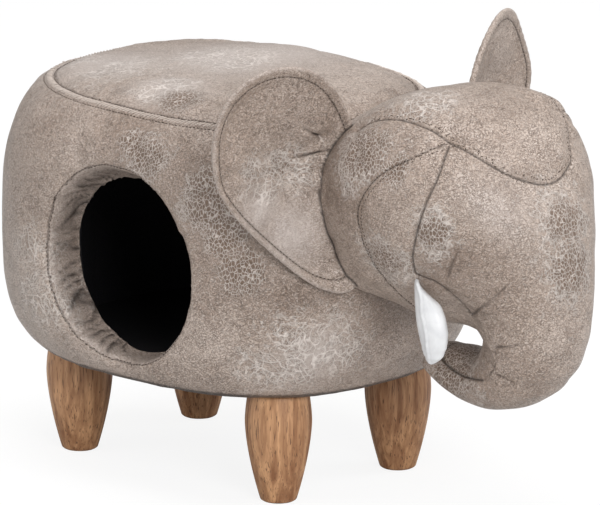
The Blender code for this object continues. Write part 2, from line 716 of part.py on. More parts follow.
def make_tusks():
    """Leaf-shaped stuffed tusks sewn to the cheeks and cut to lie against them."""
    fullest = TUSK_TOP_POWER / (TUSK_TOP_POWER + TUSK_TIP_POWER)
    cutters = [head_core("tusk_head_cutter", HEAD_STATIONS, HEAD_PANELS, -SEAM_GAP, TAUPE, CUTTERS),
               head_core("tusk_trunk_cutter", TRUNK_STATIONS, TRUNK_PANELS, -SEAM_GAP, TAUPE, CUTTERS)]
    for side, sign in SIDES.items():
        root = head_point(TUSK_STATION, sign * TUSK_ANGLE, TUSK_SUNK)
        lean, splay = math.sin(TUSK_LEAN), math.sin(TUSK_SPLAY)
        axis = Vector((lean, sign * splay, -math.cos(TUSK_LEAN))).normalized()
        wide = Vector((math.cos(TUSK_LEAN), 0.0, lean))
        thick = axis.cross(wide).normalized()
        bm = bmesh.new()
        rows = [[bm.verts.new(root)]]
        for share in TUSK_RINGS:
            swell = tusk_fullness(share) / tusk_fullness(fullest)
            middle = root + axis * TUSK_LENGTH * share + wide * TUSK_BELLY * swell
            ring = []
            for angle in steps(0.0, 2 * math.pi, TUSK_SIDES)[:-1]:
                spread = wide * TUSK_WIDTH * math.cos(angle) + thick * TUSK_THICK * math.sin(angle)
                ring.append(bm.verts.new(middle + spread * swell / 2))
            rows.append(ring)
        rows.append([bm.verts.new(root + axis * TUSK_LENGTH)])
        join_rows(bm, rows, closed=True)
        tusk = add_object(side + "_tusk", bm, WHITE)
        for cutter in cutters:
            cut(tusk, cutter)


def centre_on_origin():
    """Hang every part on one empty, moved so that the part's box is centred over the origin."""
    bpy.context.view_layer.update()
    depsgraph = bpy.context.evaluated_depsgraph_get()
    reach = []
    for piece in PARTS.objects:
        evaluated = piece.evaluated_get(depsgraph)
        reach += [(evaluated.matrix_world @ Vector(corner)).x for corner in evaluated.bound_box]
    holder = bpy.data.objects.new("pouf_origin", None)
    PARTS.objects.link(holder)
    shift = -(min(reach) + max(reach)) / 2
    for piece in list(PARTS.objects) + list(CUTTERS.all_objects):
        if piece is not holder:
            piece.parent = holder
    holder.location.x = shift
    bpy.context.view_layer.update()


def main():
    mouth, body, clear, cave = make_cutters()
    base = make_frame(mouth)
    make_padding(mouth)
    make_cover(mouth, body, cave)
    make_lining(mouth)
    make_legs(base)
    make_head(clear)
    make_ears()
    make_tusks()
    centre_on_origin()


main()
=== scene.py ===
import json
import math

import bmesh
import bpy
import numpy as np
from mathutils import Matrix, Vector, noise
from mathutils.bvhtree import BVHTree
from mathutils.kdtree import KDTree


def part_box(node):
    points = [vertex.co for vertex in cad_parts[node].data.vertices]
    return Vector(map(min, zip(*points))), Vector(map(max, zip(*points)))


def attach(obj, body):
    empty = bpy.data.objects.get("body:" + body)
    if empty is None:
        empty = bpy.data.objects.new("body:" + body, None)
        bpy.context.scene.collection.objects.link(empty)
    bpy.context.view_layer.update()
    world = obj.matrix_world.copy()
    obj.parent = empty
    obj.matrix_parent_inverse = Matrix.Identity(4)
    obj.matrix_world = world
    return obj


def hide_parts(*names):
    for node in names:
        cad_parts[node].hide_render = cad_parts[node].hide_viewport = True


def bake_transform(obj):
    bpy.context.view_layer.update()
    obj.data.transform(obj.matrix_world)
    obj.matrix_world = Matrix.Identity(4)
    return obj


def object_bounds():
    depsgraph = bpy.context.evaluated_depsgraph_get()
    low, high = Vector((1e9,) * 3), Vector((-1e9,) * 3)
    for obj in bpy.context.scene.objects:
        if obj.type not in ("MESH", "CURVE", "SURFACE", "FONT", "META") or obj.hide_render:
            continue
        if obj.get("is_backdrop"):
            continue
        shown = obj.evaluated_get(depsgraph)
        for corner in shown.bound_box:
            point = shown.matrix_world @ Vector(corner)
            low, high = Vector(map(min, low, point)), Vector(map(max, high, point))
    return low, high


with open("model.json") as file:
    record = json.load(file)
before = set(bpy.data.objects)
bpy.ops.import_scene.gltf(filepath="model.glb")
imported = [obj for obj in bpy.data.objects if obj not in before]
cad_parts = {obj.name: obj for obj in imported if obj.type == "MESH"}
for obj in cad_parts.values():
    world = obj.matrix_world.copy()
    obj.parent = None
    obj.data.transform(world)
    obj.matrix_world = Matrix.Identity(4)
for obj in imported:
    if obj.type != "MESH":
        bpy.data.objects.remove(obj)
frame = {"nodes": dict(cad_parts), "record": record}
cad_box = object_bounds()
scene = bpy.context.scene

# Drum of the body, with the values of its solids. Lengths are in metres where nothing else is said
SQUARENESS = 2.5
TOP_INSET = 0.039
SHOULDER_POWER = 3.4
BOTTOM_INSET = 0.031
BARREL_POWER = 4.0
SEAT_CROWN = 0.018
CROWN_POWER = 4.0
HEM_WIDTH = 0.026
MOUTH_RADIUS = 0.093
MOUTH_Z = 0.224

# Where the drum's cover departs from the solids: an oval, sagging mouth, a fuller rear, a dip in the seat
MOUTH_AHEAD = 0.014
MOUTH_NARROW = 0.0035
MOUTH_SAG = 0.012
MOUTH_SAG_POWER = 1.3
REAR_FULL = 0.043
REAR_START = 0.315
SEAT_DIP = 0.0055
SEAT_DIP_BEHIND = 0.02
SEAT_DIP_LENGTH = 0.10
SEAT_DIP_SHARE = 0.25

# Skin of the drum. A seam's shape is its depth, width, draw, pucker and darkness
BODY_VOXEL = 0.006
SIDE_RINGS = 28
SEAT_RINGS = 17
MOUTH_SIDES = 72
LIP_REACH = 0.012
LIP_ROUNDS = 14
SLEEVE_SLACK = 0.004
BODY_SEWN = 0.005
BODY_REFINED = 0.006
HEM_SEWN = 0.004
HEM_HEIGHT = 0.006
HEM_MARK = 0.0062
SEAM_BAND = 0.010
RING_RADIUS = MOUTH_RADIUS + 0.0025
BODY_SEAM_SHAPES = {"edge": (0.0007, 0.0010, 0.0, 0.0003, 0.25),
                    "seat": (0.0014, 0.0010, 0.0010, 0.0004, 1.0),
                    "mouth": (0.0012, 0.0011, 0.0012, 0.0004, 0.8)}
BAND_RAISE = 0.0003
BAND_HALF = 0.0045
GATHER_HEIGHT = 0.0034
FINE_GATHERS = 21
BROAD_GATHERS = 8
SEAT_CREASE = 0.0008
SLEEVE_WAVE = 0.0020

# Pressure, spare cloth and furthest move of the swollen covers
BODY_SWELL = (4.0, 0.012, 0.003)
HEAD_SWELL = (4.0, 0.012, 0.0022)
EAR_SWELL = (2.5, 0.02, 0.004)
CLOTH_FRAMES = 20

# Height, scale and seed of the noise that makes a cover uneven
BODY_UNEVEN = ((0.0008, 14.0, 1), (0.0004, 45.0, 2))
HEAD_UNEVEN = ((0.0010, 18.0, 3), (0.0004, 50.0, 5))
EAR_UNEVEN = ((0.0007, 22.0, 7),)
TUSK_UNEVEN = ((0.0006, 40.0, 6),)

# Wear and tone of the leather: middle and radius of soft blobs, in millimetres; the pale blobs are painted
# sheen and light, the brown ones browner leather, partly painted shade
BODY_PATCHES = ((17, -162, 314, 26), (22, -168, 295, 28), (35, -161, 275, 26), (-55, -176, 340, 24),
                (-78, -173, 345, 18), (49, -155, 241, 24), (-70, -112, 377, 24))
# Painted sheen on the seat, and painted light low on the front
BODY_PALE = ((-229, -49, 377, 70), (-101, -97, 379, 40), (-133, 17, 382, 90), (-115, 67, 381, 80),
             (90, -100, 160, 34))
# Browner leather round the worn patches, partly painted shade under the near ear
BODY_BROWN = ((17, -162, 314, 45), (35, -161, 275, 42), (52, -152, 238, 36), (80, -125, 215, 30),
              (-70, -174, 345, 30))
BODY_VEINS = ((85, -112, 163, 46), (64, -130, 143, 36), (100, -80, 165, 40), (-192, -180, 173, 40),
              (-206, -179, 219, 30), (-268, -58, 367, 40), (-190, -70, 379, 50), (-101, -97, 379, 36),
              (-133, 17, 382, 60), (-60, -176, 338, 30), (25, -165, 300, 40))
HEAD_PATCHES = ((160, -104, 364, 30), (205, -109, 357, 16), (248, -104, 303, 18), (190, -108, 270, 22),
                (318, 5, 310, 28), (325, 0, 265, 30), (212, -40, 146, 34), (195, -13, 165, 34))
HEAD_VEINS = ((318, 5, 310, 40), (325, 0, 265, 40), (248, -104, 303, 30), (190, -108, 265, 34),
              (150, -108, 356, 34), (215, -40, 150, 40), (185, -45, 405, 35))
# Browner leather, partly painted shade in the trunk's curl
HEAD_BROWN = ((139, -107, 355, 36), (148, -117, 325, 36), (195, -13, 165, 36), (225, -40, 148, 36),
              (262, -92, 280, 28))
# Painted light on the front of the head
HEAD_PALE = ((292, -60, 325, 40),)
EAR_PATCHES = ((82, -168, 338, 22), (88, -145, 342, 18))
EAR_VEINS = ((84, -160, 338, 30), (95, -130, 342, 24))
# Browner, darker upper leaf, partly painted shade of its cupped top
EAR_BROWN = ((105, -132, 405, 40), (113, -104, 392, 35), (97, -140, 378, 32))
# Painted light and sheen on the lower, upturned part of the ear
EAR_PALE = ((93, -134, 279, 34), (83, -161, 305, 26))

# Head and trunk. HEAD_FULL is where the cover is fuller or flatter: middle in millimetres, height, spread
COVER = 0.0019
HEAD_VOXEL = 0.0048
HEAD_FULL = (((226, 80, 389), 0.009, 0.033), ((118, -68, 232), 0.010, 0.028), ((118, 68, 232), 0.010, 0.028),
             ((158, 25, 410), -0.004, 0.050))
NECK_LEVEL = 1.03
HEAD_SEWN = 0.004
HEAD_REFINED = 0.005

# Ears, with the values of their solids
EAR_WIDTH = 0.152
EAR_HEIGHT = 0.230
EAR_SWEEP = math.radians(19.0)
EAR_CUP = 0.012
EAR_CURL_START = 0.62
EAR_CURL_FADE = 1.1
EAR_MIDDLE = Vector((0.46, 0.56))
EAR_RADII = Vector((0.54, 0.44))
EAR_FOOT_SHARE = 0.10
EAR_FOOT_PULL = Vector((0.20, 0.12))

# Where the ears' covers depart from the solids: a lower heel, a trimmed rim, a pointed far ear without a curl
EAR_CURLS = {"right": 0.014, "left": 0.0}
EAR_TIP = 0.46
EAR_TIP_START = 0.68
EAR_TIP_LENGTH = 0.30
EAR_POINTED = {"right": 0.0, "left": 0.28}
EAR_TRIM = 0.16
EAR_HEEL = 0.17

# Leaf of an ear: half thickness, rolled rim, rings by their share of the outline, folds in millimetres
EAR_HALF = 0.0042
EAR_PINCH = 0.0019
EAR_PAD_SHARE = 0.55
EAR_STITCH = 0.893
EAR_ROLL = 0.0011
EAR_ROLL_END = 1.02
EAR_CLOSE = 0.965
EAR_SEWN_SHARE = 0.84
EAR_REFINED = 0.004
EAR_SIDES = 144
EAR_RINGS = [*np.linspace(0.06, 0.82, 14), 0.855, 0.878, 0.893, 0.908, 0.93, 0.955, 0.975, 0.992, 1.0]
EAR_FOLD = ((112, -97, 359), (100, -120, 354), (88, -146, 349), (81, -168, 345))
PLEATS = (((112, -96, 361), (107, -109, 371), (99, -127, 385)),
          ((111, -98, 357), (104, -112, 356), (94, -131, 354)))
BORDER_SHAPE = (0.0005, 0.0011, 0.0, 0.0003, 0.6)
# The pleats' darkness is painted shade in their folds
PLEAT_SHAPE = (0.0042, 0.0013, 0.0024, 0.0, 1.6)
FOLD_DEPTH = 0.0030
FOLD_WIDTH = 0.010

# Tusks, and legs turned to the profile of their solids
TUSK_VOXEL = 0.0016
TUSK_POINTED = 0.7
TUSK_LEVELS = 40
TUSK_RIDGE = 0.0013
LEG_BULGE_Z = 0.078
LEG_MAX_RADIUS = 0.0318
LEG_FOOT_RADIUS = 0.0168
LEG_TAPER_POWER = 1.6
LEG_FOOT_EDGE = 0.0020
LEG_EDGE_HEIGHT = 0.0022
LEG_SIDES = 64

# Lines: length of a sample, parts of each span, and how seams draw in, pucker and fade
LINE_STEP = 0.001
SPAN_PARTS = 24
DRAW_REACH = 0.009
PUCKER_REACH = 0.010
PUCKER_GAP = 0.003
PUCKER_SAMPLES = 9.0
FADE_POWER = 0.6
MARK_SHARE = 0.9

# Threads. STITCH_RINGS has the share along, the width and the height of each ring of a stitch
STITCH_RINGS = ((-0.5, 0.25, -0.6), (-0.34, 0.9, 0.1), (0.0, 1.0, 0.35), (0.34, 0.9, 0.1), (0.5, 0.25, -0.6))
STITCH_SIDES = 6
STITCH_SIZE = (0.0024, 0.00036)
LADDER_SIZE = (0.0078, 0.00062)
LADDER_SLANT = 1.0
STITCH_PITCH = 0.0040
THREAD_LIFT = 0.0001
CROWN_ROW = 0.0065
JOWL_ROW = 0.006
BROW = (0.20, 0.0, 0.38)
CHEEK = (0.205, None, 0.305)

# Colours of the leather
TAUPE = (0.376, 0.288, 0.233)
TAUPE_PALE = (0.504, 0.410, 0.350)
TAUPE_DARK = (0.220, 0.152, 0.112)
TAUPE_DEEP = (0.105, 0.068, 0.047)
PAINTED_SHEEN = (0.460, 0.414, 0.396)
VEIN_AND_GLINT = (0.740, 0.668, 0.620)
CELL_BROWN = (0.150, 0.095, 0.062)
SEAM_AND_SHADE_DARK = (0.035, 0.024, 0.018)

# The photograph's camera, and the light: name, place, aim, size and power of each lamp
AZIMUTH = math.radians(44.2)
ELEVATION = math.radians(14.6)
CAMERA_DISTANCE = 12.0
PICTURE_WIDTH = 0.57
SENSOR_WIDTH = 36.0
LOOK_RIGHT = 0.0588
LOOK_UP = 0.1949
LOOK_BACK = 0.06
LAMPS = (("top", (0.2, -0.3, 3.2), (0.0, 0.0, 0.2), 2.2, 56.0),
         ("key", (3.0, -1.5, 1.6), (0.0, 0.0, 0.2), 1.6, 66.0),
         ("fill", (-1.6, -2.8, 1.2), (0.0, 0.0, 0.2), 2.0, 16.0),
         ("rim", (1.6, 2.4, 2.0), (0.0, 0.0, 0.25), 1.6, 30.0))
WORLD_LIGHT = 0.45
FLOOR_HALF = 30
FLOOR_WHITE = 0.78
FLOOR_GLOW = 1.12

# Places read from the frame
body_low, body_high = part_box("side_cover")
BODY_X = (body_low.x + body_high.x) / 2
HALF_LENGTH = (body_high.x - body_low.x) / 2
HALF_WIDTH = body_high.y
BODY_BOTTOM = body_low.z
SEAT_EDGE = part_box("seat_cover")[1].z - SEAT_CROWN
MOUTH_X = BODY_X + MOUTH_AHEAD
OUTSIDE_Y = -HALF_WIDTH - 0.05
SLEEVE_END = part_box("cave_lining")[0].y + 0.004

# Seams of the right half of the head, in millimetres; the left half mirrors them
CROWN_SEAM = ((136, -86, 376), (152, -82, 391), (181, -78, 397), (210, -75, 394), (241, -72, 383),
              (267, -60, 370), (287, -42, 354), (298, -20, 345), (302, 0, 342))
CHEEK_SEAM = ((241, -75, 381), (246, -96, 355), (241, -107, 330), (232, -110, 299), (224, -107, 275),
              (218, -97, 256))
JOWL_SEAM = ((238, -75, 383), (223, -96, 373), (200, -109, 359), (184, -116, 345), (171, -119, 326),
             (164, -118, 305), (166, -115, 288), (168, -106, 268), (174, -91, 244), (180, -74, 224),
             (181, -61, 213), (180, -30, 203), (180, 0, 198))
LIP_SEAM = ((218, -97, 256), (235, -88, 250), (243, -75, 237), (247, -63, 226), (246, -51, 214))
TIP_SEAM = ((257, -48, 153), (223, -37, 150), (199, -31, 154), (183, -23, 160), (176, 0, 163))
DART = ((268, -90, 287), (259, -90, 272), (243, -83, 247))
# The darkness of the dart and the creases is painted shade in their folds
SEAM_SHAPES = {"crown": (0.0015, 0.0011, 0.0012, 0.0004, 1.0), "cheek": (0.0017, 0.0012, 0.0012, 0.0004, 1.0),
               "jowl": (0.0011, 0.0011, 0.0007, 0.0004, 0.55), "lip": (0.0018, 0.0013, 0.0012, 0.0003, 1.0),
               "tip": (0.0024, 0.0014, 0.0014, 0.0003, 1.0), "dart": (0.0038, 0.0012, 0.0026, 0.0, 1.0),
               "crease": (0.0026, 0.0012, 0.0016, 0.0, 0.95)}
CREASES = (((246, -51, 214), (291, -63, 244), (312, -45, 269)),
           ((275, -52, 189), (302, -50, 195), (318, -36, 197)),
           ((276, -51, 163), (291, -44, 157), (302, -10, 145)),
           ((275, -52, 189), (279, -53, 177), (270, -51, 163), (257, -48, 153)))


def vectors(items, key):
    flat = np.empty(len(items) * 3, np.float32)
    items.foreach_get(key, flat)
    return flat.reshape(-1, 3).astype(float)


def coords(mesh):
    return vectors(mesh.vertices, "co")


def normals(mesh):
    return vectors(mesh.vertex_normals, "vector")


def set_coords(mesh, places):
    mesh.vertices.foreach_set("co", places.astype(np.float32).ravel())
    mesh.update()


def turns(count):
    """Angles spread evenly over a full turn."""
    return [2 * math.pi * index / count for index in range(count)]


def add_mesh(name, places, faces):
    mesh = bpy.data.meshes.new(name)
    mesh.from_pydata([tuple(place) for place in places], [], faces)
    mesh.update()
    made = bpy.data.objects.new(name, mesh)
    scene.collection.objects.link(made)
    return made


def baked(piece):
    """Keep a piece's evaluated mesh and drop its modifiers."""
    bpy.context.view_layer.update()
    graph = bpy.context.evaluated_depsgraph_get()
    mesh = bpy.data.meshes.new_from_object(piece.evaluated_get(graph))
    piece.modifiers.clear()
    piece.data = mesh
    mesh.name = piece.name


def modified(piece, kind, **settings):
    """Add a modifier with its settings."""
    made = piece.modifiers.new(kind.lower(), kind)
    for key, value in settings.items():
        setattr(made, key, value)


def remeshed(piece, voxel, rounds):
    """Even skin over a rough solid, smoothed."""
    modified(piece, "REMESH", mode="VOXEL", voxel_size=voxel, use_smooth_shade=True)
    modified(piece, "SMOOTH", factor=0.5, iterations=rounds)
    baked(piece)


def smoothed(piece):
    """Split every face into four, rounded."""
    modified(piece, "SUBSURF", levels=1)
    baked(piece)


def node_copies(name, nodes):
    """One mesh of copies of CAD nodes, each grown along its normals."""
    places, faces = [], []
    for node, grow in nodes.items():
        bm = bmesh.new()
        bm.from_mesh(frame["nodes"][node].data)
        bmesh.ops.remove_doubles(bm, verts=bm.verts[:], dist=0.00002)
        bm.normal_update()
        bm.verts.index_update()
        offset = len(places)
        places += [vert.co + vert.normal * grow for vert in bm.verts]
        faces += [[offset + vert.index for vert in face.verts] for face in bm.faces]
        bm.free()
    return add_mesh(name, places, faces)


def tree_of(piece):
    mesh = piece.data
    corners = [vert.co for vert in mesh.vertices]
    return BVHTree.FromPolygons(corners, [face.vertices[:] for face in mesh.polygons])


def swell(piece, sewn, pressure, spare, most):
    """Cloth under pressure, held where it is sewn; no point moves further than most."""
    start = coords(piece.data)
    group = piece.vertex_groups.new(name="sewn")
    group.add(np.nonzero(sewn)[0].tolist(), 1.0, "REPLACE")
    cloth = piece.modifiers.new("swell", "CLOTH")
    settings = cloth.settings
    settings.vertex_group_mass = "sewn"
    settings.use_pressure = True
    settings.uniform_pressure_force = pressure
    settings.shrink_min = -spare
    settings.effector_weights.gravity = 0.0
    settings.bending_stiffness = 4.0
    settings.quality = 4
    cloth.collision_settings.use_collision = False
    cloth.point_cache.frame_start = 1
    cloth.point_cache.frame_end = CLOTH_FRAMES
    for step in range(1, CLOTH_FRAMES + 1):
        scene.frame_set(step)
    baked(piece)
    scene.frame_set(1)
    move = coords(piece.data) - start
    length = np.linalg.norm(move, axis=1, keepdims=True)
    move *= np.minimum(1.0, most / np.maximum(length, 1e-9))
    set_coords(piece.data, start + move)
    piece.vertex_groups.clear()


def curve(points, closed=False):
    """Smooth line through a few points, sampled evenly."""
    points = [Vector(point) for point in points]
    count = len(points)
    fine = []
    for index in range(count if closed else count - 1):
        if closed:
            a, b, c, d = (points[(index + shift) % count] for shift in (-1, 0, 1, 2))
        else:
            a, b, c, d = (points[min(max(index + shift, 0), count - 1)] for shift in (-1, 0, 1, 2))
        for part in range(SPAN_PARTS):
            t = part / SPAN_PARTS
            fine.append(0.5 * (2 * b + (c - a) * t + (2 * a - 5 * b + 4 * c - d) * t * t
                               + (3 * b - a - 3 * c + d) * t ** 3))
    fine.append(points[0] if closed else points[-1])
    fine = np.array(fine)
    along = np.concatenate([[0.0], np.cumsum(np.linalg.norm(np.diff(fine, axis=0), axis=1))])
    even = np.linspace(0.0, along[-1], max(3, int(along[-1] / LINE_STEP)))
    return np.stack([np.interp(even, along, fine[:, axis]) for axis in range(3)], axis=1)


def millimetres(points, side=-1.0):
    """Points given in millimetres on the right side, on either side."""
    return [Vector((x, -side * y, z)) / 1000 for x, y, z in points]


def both_halves(points):
    """A seam of the right half and its mirror image, as one line where they meet in the middle."""
    right, left = millimetres(points), millimetres(points, 1.0)
    if points[-1][1] == 0:
        return [curve(right + left[-2::-1])]
    return [curve(right), curve(left)]


def snapped(line, tree):
    return np.array([tree.find_nearest(Vector(point))[0] for point in line])


def nearest(places, line, reach=0.03):
    """Distance from each place to a line, and the index of the line's nearest sample."""
    finder = KDTree(len(line))
    for index, point in enumerate(line):
        finder.insert(point, index)
    finder.balance()
    distance, index = np.ones(len(places)), np.zeros(len(places), int)
    close = np.all((places > line.min(axis=0) - reach) & (places < line.max(axis=0) + reach), axis=1)
    for spot in np.nonzero(close)[0]:
        _, index[spot], distance[spot] = finder.find(places[spot])
    return distance, index


def refined(piece, lines, reach):
    """Split the faces close to the lines once more."""
    distance = np.min([nearest(coords(piece.data), line)[0] for line in lines], axis=0)
    bm = bmesh.new()
    bm.from_mesh(piece.data)
    bm.verts.ensure_lookup_table()
    close = [edge for edge in bm.edges if all(distance[vert.index] < reach for vert in edge.verts)]
    bmesh.ops.subdivide_edges(bm, edges=close, cuts=1, use_grid_fill=True)
    bm.to_mesh(piece.data)
    bm.free()
    piece.data.shade_smooth()


def bumps(places, scale, seed):
    """Smooth noise from -1 to 1 at each place."""
    shift = Vector((seed * 7.3, seed * 3.1, seed * 5.7))
    return np.array([noise.noise(Vector(place) * scale + shift) for place in places])


def uneven(places, layers):
    """Sum of layers of noise, each with its height, scale and seed."""
    return sum(height * bumps(places, scale, seed) for height, scale, seed in layers)


def store(piece, **marks):
    """Keep numbers at a piece's points, for its look."""
    for name, values in marks.items():
        attribute = piece.data.attributes.get(name) or piece.data.attributes.new(name, "FLOAT", "POINT")
        attribute.data.foreach_set("value", values.astype(np.float32))


def girth(height, depth=0.0):
    """Half length and half width of the drum's side at a height."""
    middle, half = (BODY_BOTTOM + SEAT_EDGE) / 2, (SEAT_EDGE - BODY_BOTTOM) / 2
    level = (height - middle) / half
    inset = TOP_INSET * level ** SHOULDER_POWER if level > 0 else BOTTOM_INSET * (-level) ** BARREL_POWER
    return HALF_LENGTH - inset - depth, HALF_WIDTH - inset - depth


def oval(half_x, half_y, height, count=120):
    """Ring of the drum; towards the seat its rear is fuller than the solids have it."""
    fuller = 1 + REAR_FULL * rise((height - REAR_START) / (SEAT_EDGE - REAR_START))
    points = []
    for angle in turns(count):
        c, s = math.cos(angle), math.sin(angle)
        along = half_x * math.copysign(abs(c) ** (2 / SQUARENESS), c)
        across = half_y * math.copysign(abs(s) ** (2 / SQUARENESS), s)
        points.append((BODY_X + along * (fuller if c < 0 else 1.0), across, height))
    return points


def lofted(name, rings):
    """Closed skin over rings of equal count, with a fan of faces at either end."""
    count = len(rings[0])
    places = [Vector(point) for ring in rings for point in ring]
    faces = []
    for ring in range(len(rings) - 1):
        for index in range(count):
            step = (index + 1) % count
            low, high = ring * count, (ring + 1) * count
            faces.append((low + index, low + step, high + step, high + index))
    for first in (0, (len(rings) - 1) * count):
        places.append(sum(places[first:first + count], Vector()) / count)
        faces += [(first + index, first + (index + 1) % count, len(places) - 1) for index in range(count)]
    made = add_mesh(name, places, faces)
    bm = bmesh.new()
    bm.from_mesh(made.data)
    bmesh.ops.recalc_face_normals(bm, faces=bm.faces[:])
    bm.to_mesh(made.data)
    bm.free()
    return made


def seat_height(share):
    return SEAT_EDGE + SEAT_CROWN * (1 - share ** CROWN_POWER)


def seat_line(inset):
    """Line round the seat, an inset inside its edge."""
    half_x, half_y = girth(SEAT_EDGE)
    share = 1 - inset / half_y
    return np.array(curve(oval(half_x - inset, half_y - inset, seat_height(share)), closed=True))


def drum_level(places):
    """1 on the drum's side, less inside it."""
    sizes = np.array([girth(min(max(z, BODY_BOTTOM), SEAT_EDGE)) for z in places[:, 2]])
    along = np.abs(places[:, 0] - BODY_X) / sizes[:, 0]
    across = np.abs(places[:, 1]) / sizes[:, 1]
    return (along ** SQUARENESS + across ** SQUARENESS) ** (1 / SQUARENESS)


def relief(places, line, depth, width, draw=0.0, pucker=0.0, fade=False, seed=1):
    """How a sewn or creased line shapes the skin: groove, drawn-in strip, puckers across it."""
    distance, index = nearest(places, line)
    strength = np.ones(len(places))
    if fade:
        share = index / (len(line) - 1)
        strength = (1 - share) ** FADE_POWER * np.minimum(1.0, share * 8 + 0.4)
    shape = -depth * strength * np.exp(-(distance / width) ** 2)
    shape -= draw * strength * np.exp(-(distance / DRAW_REACH) ** 2)
    if pucker:
        drift = np.array([noise.noise(Vector((step * 0.03, seed * 9.7, 0.0))) for step in range(len(line))])
        phase = np.arange(len(line)) * 2 * math.pi / PUCKER_SAMPLES + drift * 9.0
        ripple = np.sin(phase)[index] * (0.5 + 0.5 * drift[index])
        beside = 1 - np.exp(-(distance / PUCKER_GAP) ** 2)
        shape += pucker * ripple * np.exp(-(distance / PUCKER_REACH) ** 2) * beside
    # Darkness along the line: a sewn seam's own dark line; along creases, darts and pleats it is painted
    # shade
    mark = strength * np.exp(-(distance / (width * MARK_SHARE)) ** 2)
    return shape, mark


def lined(places, rows):
    """Shape and darkness of a piece's lines; a row is a line, its seam shape, whether it fades, a seed."""
    move, mark = np.zeros(len(places)), np.zeros(len(places))
    for line, (depth, width, draw, pucker, darkness), fade, seed in rows:
        shape, line_mark = relief(places, line, depth, width, draw, pucker, fade, seed)
        move += shape
        mark = np.maximum(mark, np.minimum(1.0, darkness * line_mark))
    return move, mark


def make_body():
    """Cover of the drum: side, seat and the leather turned into the cave mouth."""
    rings = [oval(*girth(height), height) for height in np.linspace(BODY_BOTTOM, SEAT_EDGE, SIDE_RINGS)]
    half_x, half_y = girth(SEAT_EDGE)
    for share in np.linspace(1.0, 0.04, SEAT_RINGS)[1:]:
        inwards = rise((1 - share) / SEAT_DIP_SHARE)
        rings.append([(x, y, z - SEAT_DIP * rise((BODY_X - SEAT_DIP_BEHIND - x) / SEAT_DIP_LENGTH) * inwards)
                      for x, y, z in oval(half_x * share, half_y * share, seat_height(share))])
    body = lofted("body_leather", rings)
    turn = turns(MOUTH_SIDES)
    ends = [[mouth_point(angle, MOUTH_RADIUS, y) for angle in turn] for y in (OUTSIDE_Y, SLEEVE_END + 0.006)]
    hole = lofted("mouth_tool", ends)
    modified(body, "BOOLEAN", object=hole, solver="EXACT")
    baked(body)
    bpy.data.objects.remove(hole)
    remeshed(body, BODY_VOXEL, 3)
    lip = [mouth_point(angle, MOUTH_RADIUS, -HALF_WIDTH) for angle in turn]
    places = coords(body.data)
    around_lip = nearest(places, snapped(curve(lip, closed=True), tree_of(body)))[0]
    group = body.vertex_groups.new(name="lip")
    group.add(np.nonzero(around_lip < LIP_REACH)[0].tolist(), 1.0, "REPLACE")
    modified(body, "SMOOTH", vertex_group="lip", iterations=LIP_ROUNDS)
    baked(body)
    body.vertex_groups.clear()
    places = coords(body.data)
    skin = tree_of(body)
    seams = {"edge": snapped(seat_line(0.0), skin), "seat": snapped(seat_line(SEAM_BAND), skin),
             "mouth": mouth_line(skin, RING_RADIUS)}
    in_mouth = (mouth_radius(places) < RING_RADIUS) & (places[:, 1] < SLEEVE_END + 0.01)
    sewn = in_mouth | (places[:, 2] < BODY_BOTTOM + HEM_SEWN)
    for line in seams.values():
        sewn |= nearest(places, line)[0] < BODY_SEWN
    swell(body, sewn, *BODY_SWELL)
    open_skin(body)
    smoothed(body)
    refined(body, list(seams.values()), BODY_REFINED)
    shape_body(body, seams)
    return body, seams


def mouth_point(angle, radius, y):
    """Place on the mouth's oval, a little narrower than it is tall."""
    along = (radius - MOUTH_NARROW) * math.cos(angle)
    return Vector((MOUTH_X + along, y, MOUTH_Z + radius * math.sin(angle)))


def mouth_radius(places):
    """Distance from the mouth's middle, measured so that its oval lip counts as a circle."""
    stretch = MOUTH_RADIUS / (MOUTH_RADIUS - MOUTH_NARROW)
    return np.hypot((places[:, 0] - MOUTH_X) * stretch, places[:, 2] - MOUTH_Z)


def mouth_line(skin, radius):
    """Oval round the mouth, seen square to the flank, on the skin."""
    starts = [mouth_point(angle, radius, OUTSIDE_Y) for angle in turns(180)]
    return curve([skin.ray_cast(start, Vector((0.0, 1.0, 0.0)))[0] for start in starts], closed=True)


def in_sleeve(place):
    """Whether a place lies in the mouth's sleeve, within its radius and on the near side."""
    return place.y < 0 and mouth_radius(np.array([place]))[0] < MOUTH_RADIUS + SLEEVE_SLACK


def open_skin(body):
    """Take out the end of the mouth's sleeve and the underside within the hem."""
    bm = bmesh.new()
    bm.from_mesh(body.data)
    sleeve = [face for face in bm.faces if in_sleeve(face.calc_center_median())]
    around = {item for face in sleeve for item in (*face.verts, *face.edges)}
    end = Vector((0.0, SLEEVE_END, 0.0))
    bmesh.ops.bisect_plane(bm, geom=[*sleeve, *around], plane_co=end, plane_no=(0.0, 1.0, 0.0))
    half_x, half_y = girth(BODY_BOTTOM, HEM_WIDTH)
    gone = []
    for face in bm.faces:
        middle = face.calc_center_median()
        along, across = abs(middle.x - BODY_X) / half_x, abs(middle.y) / half_y
        within = along ** SQUARENESS + across ** SQUARENESS < 1
        if within and middle.z < BODY_BOTTOM + HEM_HEIGHT or in_sleeve(middle) and middle.y > SLEEVE_END:
            gone.append(face)
    bmesh.ops.delete(bm, geom=gone, context="FACES")
    bm.to_mesh(body.data)
    bm.free()


